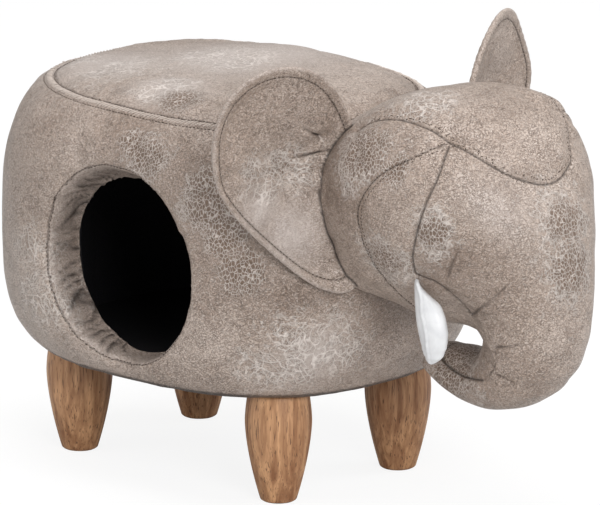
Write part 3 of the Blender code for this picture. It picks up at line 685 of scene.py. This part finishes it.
def shape_body(body, seams):
    """Seam grooves, the sagging, gathered sleeve of the mouth and the leather's own unevenness."""
    places, facing = coords(body.data), normals(body.data)
    move, mark = lined(places, [(seams[name], shape, False, 1) for name, shape in BODY_SEAM_SHAPES.items()])
    band = nearest(places, snapped(seat_line(SEAM_BAND / 2), tree_of(body)))[0]
    band = np.exp(-(band / BAND_HALF) ** 6)
    move += BAND_RAISE * band
    mark = np.maximum(mark, 0.12 * band)
    dx, dz = places[:, 0] - MOUTH_X, places[:, 2] - MOUTH_Z
    around = mouth_radius(places)
    inside = (around < RING_RADIUS - 0.001) & (places[:, 1] < SLEEVE_END + 0.02)
    lip = seams["mouth"][nearest(places, seams["mouth"], 0.1)[1]][:, 1]
    depth = np.where(inside, np.clip((places[:, 1] - lip) / (SLEEVE_END - lip), 0.0, 1.0), 0.0)
    angle = np.arctan2(dz, dx)
    drift = bumps(np.stack([np.cos(angle) * 3, np.sin(angle) * 3, depth * 0.8], axis=1), 1.0, 4)
    folds = (1 - np.abs(np.sin(angle * FINE_GATHERS + depth * 3 + drift * 6))) ** 4
    folds += 0.6 * (1 - np.abs(np.sin(angle * BROAD_GATHERS + drift * 4))) ** 4
    behind = rise((0.2 - np.cos(angle)) / 0.6)
    folds *= rise(depth * 3) * (0.5 + 0.8 * np.clip(drift + 0.4, 0.0, 1.0)) * behind
    move += GATHER_HEIGHT * folds * inside
    move += uneven(places, BODY_UNEVEN)
    creased = np.clip(1 - 3.0 * np.abs(bumps(places * np.array((1.0, 1.6, 1.0)), 34.0, 11)), 0.0, 1.0) ** 2
    creased *= rise((places[:, 2] - SEAT_EDGE) / 0.004) * rise(0.5 + 2.0 * bumps(places, 12.0, 12))
    move += SEAT_CREASE * creased
    places += facing * move[:, None]
    places[:, 2] -= MOUTH_SAG * depth ** MOUTH_SAG_POWER * np.clip(np.sin(angle), 0.0, 1.0) ** 2
    wave = bumps(np.stack([np.cos(angle), np.sin(angle), angle * 0], axis=1), 4.0, 9)
    places[:, 1] += SLEEVE_WAVE * depth ** 4 * wave
    set_coords(body.data, places)
    # Painted shade in the sleeve's gathers, growing deeper into the mouth
    mark = np.maximum(mark, np.clip(1.1 * folds, 0.0, 0.9) + 0.25 * rise(depth * 1.4))
    # Painted highlight along the lip's edge
    lip_edge = np.exp(-((around - MOUTH_RADIUS) / 0.003) ** 2) * (places[:, 1] < SLEEVE_END) * (1 - depth)
    pale = np.maximum(0.5 * lip_edge, patches(places, BODY_PALE))
    # A dark band along the bottom edge of the hem
    mark = np.maximum(mark, rise((BODY_BOTTOM + HEM_MARK - places[:, 2]) / 0.0015))
    store(body, tone=pale - patches(places, BODY_BROWN), seam=mark, worn=patches(places, BODY_PATCHES),
          veins=patches(places, BODY_VEINS))
    body.data.shade_smooth()


def patches(places, blobs):
    """1 in the middle of soft blobs, given in millimetres, falling to 0 outside them."""
    worn = np.zeros(len(places))
    for x, y, z, radius in blobs:
        gap = np.linalg.norm(places - np.array((x, y, z)) / 1000, axis=1)
        worn = np.maximum(worn, np.exp(-(gap * 1000 / radius) ** 2))
    return worn


def make_head():
    """Cover of the head and the rolled trunk, drawn in along its seams."""
    head = node_copies("head_leather", {"head_filling": COVER, "trunk_filling": COVER, "trunk_tip": 0.0})
    remeshed(head, HEAD_VOXEL, 5)
    places = coords(head.data)
    fuller = np.zeros(len(places))
    for middle, amount, spread in HEAD_FULL:
        gap = np.linalg.norm(places - np.array(middle) / 1000, axis=1)
        fuller += amount * np.exp(-(gap / spread) ** 2)
    set_coords(head.data, places + normals(head.data) * fuller[:, None])
    skin = tree_of(head)
    kinds = {"crown": [CROWN_SEAM], "cheek": [CHEEK_SEAM], "jowl": [JOWL_SEAM], "lip": [LIP_SEAM],
             "tip": [TIP_SEAM], "dart": [DART], "crease": CREASES}
    seams = {name: [snapped(line, skin) for points in lines for line in both_halves(points)]
             for name, lines in kinds.items()}
    places = coords(head.data)
    sewn = drum_level(places) < NECK_LEVEL
    for name in ("crown", "cheek", "jowl", "lip", "tip"):
        for line in seams[name]:
            sewn |= nearest(places, line)[0] < HEAD_SEWN
    swell(head, sewn, *HEAD_SWELL)
    smoothed(head)
    refined(head, [line for lines in seams.values() for line in lines], HEAD_REFINED)
    places, facing = coords(head.data), normals(head.data)
    rows = [(line, shape, name in ("dart", "crease"), seed) for name, shape in SEAM_SHAPES.items()
            for seed, line in enumerate(seams[name])]
    move, mark = lined(places, rows)
    move += uneven(places, HEAD_UNEVEN)
    set_coords(head.data, places + facing * move[:, None])
    store(head, seam=mark, worn=patches(places, HEAD_PATCHES), veins=patches(places, HEAD_VEINS),
          tone=0.5 * patches(places, HEAD_PALE) - patches(places, HEAD_BROWN))
    head.data.shade_smooth()
    return head, seams


def rise(share):
    share = np.clip(share, 0.0, 1.0)
    return share * share * (3 - 2 * share)


def ear_outline(angle):
    low = (1 - math.sin(angle)) / 2
    out = (EAR_RADII.x - EAR_FOOT_SHARE * low) * math.cos(angle)
    heel = EAR_HEEL * max(0.0, -math.cos(angle)) * low ** 2
    trim = 1 - EAR_TRIM * 2 * max(0.0, math.cos(angle)) * max(0.0, -math.sin(angle))
    return EAR_MIDDLE + Vector((out, EAR_RADII.y * math.sin(angle) - heel)) * trim - EAR_FOOT_PULL * low ** 2


def ear_axes(side):
    """The ear's low root point, its outward, upward and forward directions, and its side."""
    joints = frame["record"]["behaviour"]["joints"]
    joint = next(item for item in joints if item["name"] == side + "_ear_swing")
    up = Vector(joint["axis"])
    up *= math.copysign(1.0, up.z)
    sign = -1.0 if side == "right" else 1.0
    outward = Vector((-math.sin(EAR_SWEEP), sign * math.cos(EAR_SWEEP), 0.0))
    forward = Vector((math.cos(EAR_SWEEP), sign * math.sin(EAR_SWEEP), 0.0))
    outward = (outward - up * outward.dot(up)).normalized()
    forward = (forward - up * forward.dot(up)).normalized()
    return Vector(joint["pos_m"]), outward, up, forward, side


def ear_point(axes, angle, share, layer):
    """Place on the dished leaf: angle and share round its middle, layer above it."""
    low, outward, up, forward, side = axes
    place = EAR_MIDDLE.lerp(ear_outline(angle), share)
    pointed = EAR_POINTED[side] * rise((place.y - EAR_TIP_START) / EAR_TIP_LENGTH)
    place.x = EAR_TIP + (place.x - EAR_TIP) * (1 - pointed)
    curl = max(0.0, place.y - EAR_CURL_START) / (1 - EAR_CURL_START)
    dish = EAR_CUP * (2 * (place - EAR_MIDDLE).length) ** 2
    dish += EAR_CURLS[side] * curl ** 2 * (EAR_CURL_FADE - place.x)
    return low + outward * place.x * EAR_WIDTH + up * place.y * EAR_HEIGHT + forward * (dish + layer)


def ear_half(share):
    """Half the padded leaf's thickness: full inside, pinched at the stitch, rolled at the rim."""
    pad = 1 - rise((share - EAR_PAD_SHARE) / (EAR_STITCH - EAR_PAD_SHARE))
    pad = EAR_PINCH + (EAR_HALF - EAR_PINCH) * pad
    roll = EAR_ROLL * math.sin(math.pi * np.clip((share - EAR_STITCH) / (EAR_ROLL_END - EAR_STITCH), 0, 1))
    close = math.sqrt(max(0.0, 1 - (max(0.0, share - EAR_CLOSE) / (1 - EAR_CLOSE)) ** 2))
    return (pad + roll) * close


def make_ear(side, head):
    """Padded leaf with a stitched border, sewn into the head along its root."""
    axes = ear_axes(side)
    sign = math.copysign(1.0, axes[1].y)
    around = turns(EAR_SIDES)
    shares = EAR_RINGS + EAR_RINGS[-2::-1]
    layers = [ear_half(share) for share in EAR_RINGS] + [-ear_half(share) for share in EAR_RINGS[-2::-1]]
    rings = [[ear_point(axes, angle, share, layer) for angle in around]
             for share, layer in zip(shares, layers)]
    ear = lofted(side + "_ear_leather", rings)
    ring_share = np.append(np.repeat(shares, EAR_SIDES), (0.0, 0.0))
    swell(ear, ring_share > EAR_SEWN_SHARE, *EAR_SWELL)
    smoothed(ear)
    skin = tree_of(ear)
    seams = []
    for layer in (EAR_PINCH, -EAR_PINCH):
        border = [ear_point(axes, angle, EAR_STITCH, layer) for angle in around[::3]]
        seams.append(snapped(curve(border, True), skin))
    pleats = [snapped(curve(millimetres(points, sign)), skin) for points in PLEATS]
    refined(ear, seams + pleats, EAR_REFINED)
    places, facing = coords(ear.data), normals(ear.data)
    rows = [(line, BORDER_SHAPE, False, 1) for line in seams]
    rows += [(line, PLEAT_SHAPE, True, 1) for line in pleats]
    move, mark = lined(places, rows)
    fold = snapped(curve(millimetres(EAR_FOLD, sign)), skin)
    on_front = np.einsum("ij,j->i", facing, np.array(axes[3])) > 0
    move += relief(places, fold, FOLD_DEPTH, FOLD_WIDTH, fade=True)[0] * on_front
    move += uneven(places, EAR_UNEVEN)
    edge = [np.array(ear_point(axes, angle, 1.0, 0.0)) for angle in around]
    rim = np.min([np.linalg.norm(places - point, axis=1) for point in edge], axis=0)
    mirrored = places * np.array((1.0, -sign, 1.0))
    # Painted highlight along the rolled rim, with the pale blobs
    pale = np.maximum(0.5 * (1 - rise((rim - 0.002) / 0.004)), patches(mirrored, EAR_PALE))
    places += facing * move[:, None]
    set_coords(ear.data, places)
    # Painted shade along the root, where the ear lies close to the head, joins the darkness of its lines
    store(ear, tone=pale - 0.3 * patches(mirrored, EAR_BROWN), worn=0.5 * patches(mirrored, EAR_PATCHES),
          seam=np.maximum(mark, closeness(places, tree_of(head))), veins=patches(mirrored, EAR_VEINS))
    ear.data.shade_smooth()
    return ear, seams, axes


def closeness(places, skin, near=0.0008, far=0.0022):
    """1 on another piece's skin, falling to 0 a little away from it."""
    gaps = np.ones(len(places))
    for index, place in enumerate(places):
        found = skin.find_nearest(Vector(place), far)
        if found[0]:
            gaps[index] = found[3]
    return 1 - rise((gaps - near) / (far - near))


def darken(piece, *others):
    """Paint shade on a piece along the lines where others are sewn to it."""
    mark = np.empty(len(piece.data.vertices), np.float32)
    piece.data.attributes["seam"].data.foreach_get("value", mark)
    for other in others:
        mark = np.maximum(mark, closeness(coords(piece.data), tree_of(other), 0.0004, 0.0016))
    store(piece, seam=mark)


def make_tusk(side):
    """White stuffed leaf with a raised seam down its outer face, drawn to a point at the top."""
    sign = -1.0 if side == "right" else 1.0
    tusk = node_copies(side + "_tusk_leather", {side + "_tusk": 0.0})
    remeshed(tusk, TUSK_VOXEL, 6)
    places = coords(tusk.data)
    low, high = places[:, 2].min(), places[:, 2].max()
    share = (places[:, 2] - low) / (high - low)
    broad = np.array((math.cos(AZIMUTH), -sign * math.sin(AZIMUTH), 0.0))
    along = places @ broad
    levels = np.clip((share * TUSK_LEVELS).astype(int), 0, TUSK_LEVELS - 1)
    edge = np.array([along[levels == level].min() for level in range(TUSK_LEVELS)])[levels]
    pointed = TUSK_POINTED * rise(share * 3.2 - 2.2)
    places -= ((along - edge) * pointed)[:, None] * broad
    set_coords(tusk.data, places)
    ridge = []
    for height in np.linspace(high - 0.002, low + 0.002, 12):
        level = places[np.abs(places[:, 2] - height) < 0.0012]
        ridge.append(level[(sign * level[:, 1]).argmax()])
    ridge = curve(ridge)
    facing = normals(tusk.data)
    distance, index = nearest(places, ridge)
    wave = np.sin(index * 0.9 + 2.0 * bumps(places, 60.0, 4)) * np.exp(-(share / 0.3) ** 2)
    move = TUSK_RIDGE * np.exp(-(distance / 0.0016) ** 2) + 0.0003 * wave
    move += uneven(places, TUSK_UNEVEN)
    set_coords(tusk.data, places + facing * move[:, None])
    store(tusk, seam=np.exp(-((distance - 0.0026) / 0.0009) ** 2))
    tusk.data.shade_smooth()
    return tusk


def make_leg(node):
    """Turned leg, rounder than its solid."""
    low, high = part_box(node)
    x, y = (low.x + high.x) / 2, (low.y + high.y) / 2
    rings = []
    for height in [0.0, 0.0006, 0.0014, LEG_EDGE_HEIGHT, *np.linspace(0.004, high.z, 30)]:
        share = abs(height - LEG_BULGE_Z) / LEG_BULGE_Z
        radius = LEG_MAX_RADIUS - (LEG_MAX_RADIUS - LEG_FOOT_RADIUS) * share ** LEG_TAPER_POWER
        radius -= LEG_FOOT_EDGE * max(0.0, 1 - height / LEG_EDGE_HEIGHT) ** 2
        rings.append([(x + radius * math.cos(angle), y + radius * math.sin(angle), height)
                      for angle in turns(LEG_SIDES)])
    leg = lofted(node + "_wood", rings)
    leg.data.shade_smooth()
    return leg


def make_stitches(name, rows, size=STITCH_SIZE, slant=0.0):
    """Threads lying along lines: each row is a line, the surface it lies on and its lift off it."""
    places, faces = [], []
    length, radius = size
    step = max(2, round(STITCH_PITCH / LINE_STEP))
    for line, skin, lift in rows:
        for index in range(step, len(line) - step, step):
            spot, up, _, _ = skin.find_nearest(Vector(line[index]))
            along = Vector(line[index + 1] - line[index - 1])
            along = (along - up * along.dot(up)).normalized()
            across = up.cross(along)
            along, across = (along * math.cos(slant) + across * math.sin(slant),
                             across * math.cos(slant) - along * math.sin(slant))
            offset = len(places)
            for share, wide, high in STITCH_RINGS:
                for angle in turns(STITCH_SIDES):
                    places.append(spot + along * length * share + across * radius * wide * math.cos(angle)
                                  + up * (radius * (wide * math.sin(angle) + high) + lift))
            for first in range(offset, len(places) - STITCH_SIDES, STITCH_SIDES):
                for turn in range(STITCH_SIDES):
                    a, b = first + turn, first + (turn + 1) % STITCH_SIDES
                    faces.append((a, b, b + STITCH_SIDES, a + STITCH_SIDES))
            faces.append(tuple(reversed(range(offset, offset + STITCH_SIDES))))
            faces.append(tuple(range(len(places) - STITCH_SIDES, len(places))))
    made = add_mesh(name, places, faces)
    made.data.shade_smooth()
    return made


class Net:
    """A node tree, with the few kinds of node that the looks are made from."""

    def __init__(self, tree):
        self.tree = tree

    def link(self, value, socket):
        """Set an input to a number, a vector, a colour or another node's output."""
        if isinstance(value, bpy.types.NodeSocket):
            self.tree.links.new(value, socket)
        elif isinstance(value, tuple):
            socket.default_value = (*value, 1.0)[:len(socket.default_value)]
        else:
            socket.default_value = value

    def add(self, kind, **values):
        """A node with its settings and inputs."""
        made = self.tree.nodes.new(kind)
        for key, value in values.items():
            if hasattr(made, key):
                setattr(made, key, value)
            else:
                self.link(value, made.inputs[key.replace("_", " ")])
        return made

    def ramp(self, source, low, high, black=0.0, white=1.0):
        """A number mapped from low..high to black..white, clamped."""
        made = self.add("ShaderNodeMapRange", Value=source, From_Min=low, From_Max=high, To_Min=black,
                        To_Max=white)
        return made.outputs["Result"]

    def mixed(self, share, first, second):
        """Colour between two colours, each a constant or a socket."""
        made = self.add("ShaderNodeMix", data_type="RGBA")
        for index, value in ((0, share), (6, first), (7, second)):
            self.link(value, made.inputs[index])
        return made.outputs[2]

    def number(self, kind, first, second=0.0):
        made = self.add("ShaderNodeMath", operation=kind)
        self.link(first, made.inputs[0])
        self.link(second, made.inputs[1])
        return made.outputs[0]

    def times(self, first, second):
        return self.number("MULTIPLY", first, second)

    def plus(self, first, second):
        return self.number("ADD", first, second)

    def minus(self, first, second):
        return self.number("SUBTRACT", first, second)

    def noise(self, place, scale, detail=2.0, distortion=0.0, roughness=0.5):
        made = self.add("ShaderNodeTexNoise", Vector=place, Scale=scale, Detail=detail,
                        Distortion=distortion, Roughness=roughness)
        return made.outputs["Fac"]

    def stretched(self, place, scale):
        return self.add("ShaderNodeMapping", Vector=place, Scale=scale).outputs["Vector"]

    def warped(self, place, scale, share):
        """Places pushed about by noise."""
        push = self.add("ShaderNodeTexNoise", Vector=place, Scale=scale, Detail=2.0)
        made = self.add("ShaderNodeMix", data_type="VECTOR")
        for index, value in ((0, share), (4, place), (5, push.outputs["Color"])):
            self.link(value, made.inputs[index])
        return made.outputs[1]

    def cells(self, place, scale, feature):
        made = self.add("ShaderNodeTexVoronoi", feature=feature, Vector=place, Scale=scale)
        return made.outputs["Distance"]

    def line(self, field, width):
        """1 where a number passes through a half, 0 a width away from it."""
        return self.ramp(self.number("ABSOLUTE", self.minus(field, 0.5)), 0.0, width, 1.0, 0.0)


class Look(Net):
    """A material: its node tree, its shader and the places on the piece."""

    def __init__(self, name):
        self.made = bpy.data.materials.new(name)
        self.made.use_nodes = True
        super().__init__(self.made.node_tree)
        self.shader = self.tree.nodes["Principled BSDF"]
        self.place = self.add("ShaderNodeTexCoord").outputs["Object"]

    def mark(self, name):
        return self.add("ShaderNodeAttribute", attribute_name=name).outputs["Fac"]

    def linked(self, base, roughness, height=None, strength=0.3, distance=0.0005):
        """Link the colour, roughness and bump, and give back the material."""
        self.link(base, self.shader.inputs["Base Color"])
        self.link(roughness, self.shader.inputs["Roughness"])
        if height is not None:
            bump = self.add("ShaderNodeBump", Height=height, Strength=strength, Distance=distance)
            self.link(bump.outputs["Normal"], self.shader.inputs["Normal"])
        return self.made


def leather(name):
    """Worn taupe leatherette: brown clouds, fine dark grain, pale veins, brown cells where it has cracked;
    dark seams, with painted shade in folds and where pieces meet; painted sheen, highlights and glints.
    """
    look = Look(name)
    ramp, mixed, times, plus, place = look.ramp, look.mixed, look.times, look.plus, look.place
    seam, worn, veins, tone = (look.mark(key) for key in ("seam", "worn", "veins", "tone"))
    broad = look.noise(place, 9.0, 2.0, 0.3)
    clouds = look.noise(place, 28.0, 4.0, 0.9, 0.62)
    blotch = look.noise(place, 80.0, 3.0, 1.2, 0.6)
    grain = look.noise(look.stretched(place, (1.0, 1.0, 1.5)), 400.0, 1.0, 0.5, 0.5)
    fine = look.noise(place, 520.0, 2.0, 0.6)
    tall = look.stretched(look.warped(place, 60.0, 0.007), (1.0, 1.0, 0.68))
    crack = ramp(look.cells(tall, 330.0, "DISTANCE_TO_EDGE"), 0.02, 0.11, 1.0, 0.0)
    middle = look.cells(tall, 330.0, "F1")
    webs = []
    for wave, scale, width in ((30.0, 105.0, 0.095), (50.0, 200.0, 0.110)):
        edges = look.cells(look.warped(place, wave, 0.045), scale, "DISTANCE_TO_EDGE")
        webs.append(ramp(edges, 0.0, width, 1.0, 0.0))
    vein = look.number("MAXIMUM", webs[0], times(webs[1], ramp(blotch, 0.40, 0.60)))
    patchy = plus(look.minus(blotch, 0.5), look.minus(clouds, 0.5))
    groove = times(look.line(grain, 0.080), ramp(blotch, 0.36, 0.62, 0.55, 0.88))
    groove = times(groove, ramp(tone, 0.0, 1.0, 1.0, 0.35))
    veined = times(vein, ramp(plus(times(veins, 0.8), patchy), 0.25, 0.60))
    spread = plus(times(worn, 1.1), patchy)
    cracked = ramp(spread, 0.40, 0.85)
    laced = times(crack, ramp(spread, 0.22, 0.60))
    base = mixed(ramp(broad, 0.3, 0.7), TAUPE, TAUPE_PALE)
    base = mixed(ramp(clouds, 0.48, 0.72, 0.0, 0.60), base, TAUPE_DARK)
    # Painted sheen and light where the tone is above nought
    base = mixed(ramp(tone, 0.0, 1.0, 0.0, 0.55), base, PAINTED_SHEEN)
    # Darker and browner where the tone is below nought: brown leather, partly painted shade
    browned = times(ramp(tone, -1.0, 0.0, 0.95, 0.0), ramp(blotch, 0.35, 0.60, 0.65, 1.0))
    base = mixed(browned, base, TAUPE_DARK)
    base = mixed(ramp(spread, 0.15, 0.75, 0.0, 0.7), base, TAUPE_DARK)
    # Pale specks in the fine grain, partly painted glints
    base = mixed(ramp(fine, 0.45, 0.70, 0.0, 0.30), base, VEIN_AND_GLINT)
    base = mixed(groove, base, TAUPE_DEEP)
    base = mixed(times(veined, 0.90), base, VEIN_AND_GLINT)
    brown = mixed(ramp(middle, 0.1, 0.6), CELL_BROWN, TAUPE_DARK)
    base = mixed(times(cracked, 0.95), base, brown)
    base = mixed(times(laced, 0.72), base, VEIN_AND_GLINT)
    # Dark seam lines, a dark band along the hem, and painted shade in creases, pleats, the mouth's gathers
    # and depth, and where pieces meet
    base = mixed(times(seam, 0.85), base, SEAM_AND_SHADE_DARK)
    look.shader.inputs["Specular IOR Level"].default_value = 0.58
    height = plus(plus(times(groove, -1.0), times(blotch, 1.0)), times(fine, 0.4))
    height = plus(height, plus(times(laced, 0.6), times(veined, 0.7)))
    return look.linked(base, ramp(fine, 0.3, 0.7, 0.43, 0.29), height, 0.9, 0.0008)


def white_leather():
    look = Look("white_leatherette_look")
    clouds = look.noise(look.place, 60.0, 4.0, 0.8)
    grain = look.noise(look.place, 700.0, 2.0)
    base = look.mixed(look.ramp(clouds, 0.35, 0.7), (0.74, 0.745, 0.755), (0.64, 0.645, 0.66))
    base = look.mixed(look.times(look.mark("seam"), 0.35), base, (0.45, 0.45, 0.46))
    height = look.plus(grain, look.times(clouds, 2.0))
    return look.linked(base, look.ramp(clouds, 0.3, 0.7, 0.38, 0.5), height, 0.25, 0.0004)


def wood(name, light, dark, pore, scale=1.0):
    """Straight-grained wood, its grain along Z, with fine dark pores."""
    look = Look(name)
    drawn = look.stretched(look.place, (1.0, 1.0, 0.07))
    bands = look.noise(drawn, 95.0 * scale, 3.0, 1.4)
    fibre = look.noise(drawn, 520.0 * scale, 3.0, 0.4)
    pores = look.noise(drawn, 900.0 * scale, 1.0)
    base = look.mixed(look.ramp(bands, 0.35, 0.68), light, dark)
    base = look.mixed(look.ramp(fibre, 0.4, 0.7, 0.0, 0.5), base, dark)
    base = look.mixed(look.ramp(pores, 0.62, 0.70, 0.0, 0.8), base, pore)
    height = look.minus(fibre, look.ramp(pores, 0.62, 0.70))
    return look.linked(base, look.ramp(bands, 0.3, 0.7, 0.42, 0.55), height, 0.3, 0.0003)


def cloth_look(name, dark, light, scale, roughness):
    """Short felted or matt surface: fine noise in colour and height."""
    look = Look(name)
    fuzz = look.noise(look.place, scale, 4.0, 0.5)
    look.shader.inputs["Specular IOR Level"].default_value = 0.15
    return look.linked(look.mixed(look.ramp(fuzz, 0.3, 0.7), dark, light), roughness, fuzz)


def steel():
    look = Look("zinc_steel_look")
    cloud = look.noise(look.place, 400.0, 3.0)
    look.shader.inputs["Metallic"].default_value = 1.0
    base = look.mixed(cloud, (0.55, 0.56, 0.58), (0.68, 0.69, 0.70))
    return look.linked(base, look.ramp(cloud, 0.3, 0.7, 0.28, 0.42))


def dress(piece, look):
    piece.data.materials.clear()
    piece.data.materials.append(look)


def dress_node(node, look):
    for slot in frame["nodes"][node].material_slots:
        slot.material = look


def offset_line(line, skin, shift, guide):
    """A line moved sideways on the skin, towards the guide; a guide without y has that of each point."""
    moved = []
    for point in line:
        _, up, _, _ = skin.find_nearest(Vector(point))
        aim = [point[axis] if value is None else value for axis, value in enumerate(guide)]
        way = Vector(aim) - Vector(point)
        way = (way - up * way.dot(up)).normalized()
        moved.append(skin.find_nearest(Vector(point) + way * shift)[0])
    return np.array(moved)


# Looks
leather_look = leather("taupe_leatherette_look")
white_look = white_leather()
leg_look = wood("turned_wood_look", (0.600, 0.332, 0.166), (0.240, 0.100, 0.040), (0.075, 0.029, 0.012))
ply_look = wood("plywood_look", (0.62, 0.47, 0.30), (0.50, 0.35, 0.20), (0.36, 0.24, 0.14), 0.6)
black_look = cloth_look("black_lining_look", (0.010, 0.0095, 0.011), (0.024, 0.023, 0.026), 900.0, 0.95)
thread_look = cloth_look("dark_thread_look", (0.040, 0.027, 0.020), (0.075, 0.052, 0.038), 2500.0, 0.7)
pale_thread_look = cloth_look("pale_thread_look", (0.50, 0.43, 0.385), (0.62, 0.55, 0.50), 2500.0, 0.7)
steel_look = steel()

# Soft covers
body, body_seams = make_body()
dress(body, leather_look)
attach(body, "pouf")
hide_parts("side_cover", "seat_cover", "mouth_collar", "right_side_foam", "left_side_foam",
            "seat_foam")

head, head_seams = make_head()
dress(head, leather_look)
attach(head, "pouf")
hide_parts("head_filling", "trunk_filling", "trunk_tip", "crown_panel", "chin_panel",
            "right_cheek_panel", "left_cheek_panel", "trunk_front_panel", "trunk_underside_panel")

ears = []
for side in ("right", "left"):
    ear, ear_seams, axes = make_ear(side, head)
    ears.append(ear)
    dress(ear, leather_look)
    low, outward, up, _, _ = axes
    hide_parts(*(f"{side}_ear_{layer}" for layer in ("front", "pad", "back")))
    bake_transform(ear)
    ear_skin = tree_of(ear)
    threads = make_stitches(side + "_ear_stitches", [(line, ear_skin, 0.0) for line in ear_seams])
    dress(threads, thread_look)
    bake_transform(threads)
    tusk = make_tusk(side)
    dress(tusk, white_look)
    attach(tusk, "pouf")
    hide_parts(side + "_tusk")

# Painted shade on the head where the body and the ears meet it
darken(head, body, *ears)

# Thread of the body and the head
body_skin, head_skin = tree_of(body), tree_of(head)
body_rows = [(body_seams[name], body_skin, THREAD_LIFT) for name in ("edge", "seat", "mouth")]
body_threads = make_stitches("body_stitches", body_rows)
ladder = snapped(seat_line(SEAM_BAND / 2), body_skin)
ladder_rows = [(ladder, body_skin, THREAD_LIFT)]
ladder_threads = make_stitches("seat_ladder_stitches", ladder_rows, LADDER_SIZE, LADDER_SLANT)
jowls = head_seams["jowl"]
head_lines = [offset_line(head_seams["crown"][0], head_skin, CROWN_ROW, BROW), *jowls]
head_lines += [offset_line(line, head_skin, JOWL_ROW, CHEEK) for line in jowls]
head_threads = make_stitches("head_stitches", [(line, head_skin, 0.0) for line in head_lines])
for threads, look in ((body_threads, thread_look), (ladder_threads, pale_thread_look),
                      (head_threads, thread_look)):
    dress(threads, look)
    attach(threads, "pouf")

# Hard pieces and the CAD nodes that stay
for corner in ("front_right", "front_left", "rear_right", "rear_left"):
    leg = make_leg(corner + "_leg")
    dress(leg, leg_look)
    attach(leg, "pouf")
    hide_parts(corner + "_leg")
    dress_node(corner + "_leg_bolt", steel_look)
    dress_node(corner + "_tee_nut", steel_look)
for node in ("base_board", "seat_board", "right_wall", "left_wall", "front_post", "rear_post"):
    dress_node(node, ply_look)
for node in ("cave_lining", "cave_floor_pad", "cave_ceiling", "dust_cover"):
    dress_node(node, black_look)

# Camera at the photograph's angle
right = Vector((math.cos(AZIMUTH), math.sin(AZIMUTH), 0.0))
above = Vector((-math.sin(AZIMUTH) * math.sin(ELEVATION), math.cos(AZIMUTH) * math.sin(ELEVATION),
                math.cos(ELEVATION)))
back = right.cross(above)
target = right * LOOK_RIGHT + above * LOOK_UP + back * LOOK_BACK + Vector((BODY_X, 0.0, 0.0))
camera_data = bpy.data.cameras.new("camera")
camera_data.sensor_width = SENSOR_WIDTH
camera_data.lens = SENSOR_WIDTH * CAMERA_DISTANCE / PICTURE_WIDTH
camera_data.clip_end = 60.0
camera = bpy.data.objects.new("camera", camera_data)
turned = Matrix((right, above, back)).transposed().to_4x4()
camera.matrix_world = Matrix.Translation(target + back * CAMERA_DISTANCE) @ turned
scene.collection.objects.link(camera)
scene.camera = camera

# Soft studio light, a white world and a pale floor
for name, place, aim, size, power in LAMPS:
    data = bpy.data.lights.new(name, "AREA")
    data.shape = "DISK"
    data.size = size
    data.energy = power
    lamp = bpy.data.objects.new(name, data)
    aimed = (Vector(aim) - Vector(place)).to_track_quat("-Z", "Y").to_matrix().to_4x4()
    lamp.matrix_world = Matrix.Translation(place) @ aimed
    scene.collection.objects.link(lamp)

world = bpy.data.worlds.new("studio")
world.use_nodes = True
sky = Net(world.node_tree)
background = sky.tree.nodes["Background"]
seen = sky.add("ShaderNodeLightPath").outputs["Is Camera Ray"]
sky.link(sky.ramp(seen, 0.0, 1.0, WORLD_LIGHT, 1.0), background.inputs["Strength"])
sky.link((1.0, 1.0, 1.0), background.inputs["Color"])
scene.world = world

corners = [(x * FLOOR_HALF, y * FLOOR_HALF, 0) for x, y in ((-1, -1), (1, -1), (1, 1), (-1, 1))]
floor = add_mesh("floor", corners, [(0, 1, 2, 3)])
ground = Look("floor_look")
tone = ground.mixed(ground.noise(ground.place, 1.5, 2.0), (0.64, 0.64, 0.64), (0.68, 0.68, 0.68))
floor_look = ground.linked(tone, 0.9)
seen = ground.add("ShaderNodeLightPath").outputs["Is Camera Ray"]
glow = ground.add("ShaderNodeEmission", Strength=FLOOR_GLOW)
lifted = ground.add("ShaderNodeMixShader")
ground.link(ground.ramp(seen, 0.0, 1.0, 0.0, FLOOR_WHITE), lifted.inputs[0])
ground.link(ground.shader.outputs[0], lifted.inputs[1])
ground.link(glow.outputs[0], lifted.inputs[2])
ground.link(lifted.outputs[0], ground.tree.nodes["Material Output"].inputs["Surface"])
dress(floor, floor_look)
floor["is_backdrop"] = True

scene.view_settings.view_transform = "Standard"

low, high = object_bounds()
sizes = {"cad_box": [list(corner) for corner in cad_box], "visual_box": [list(low), list(high)]}
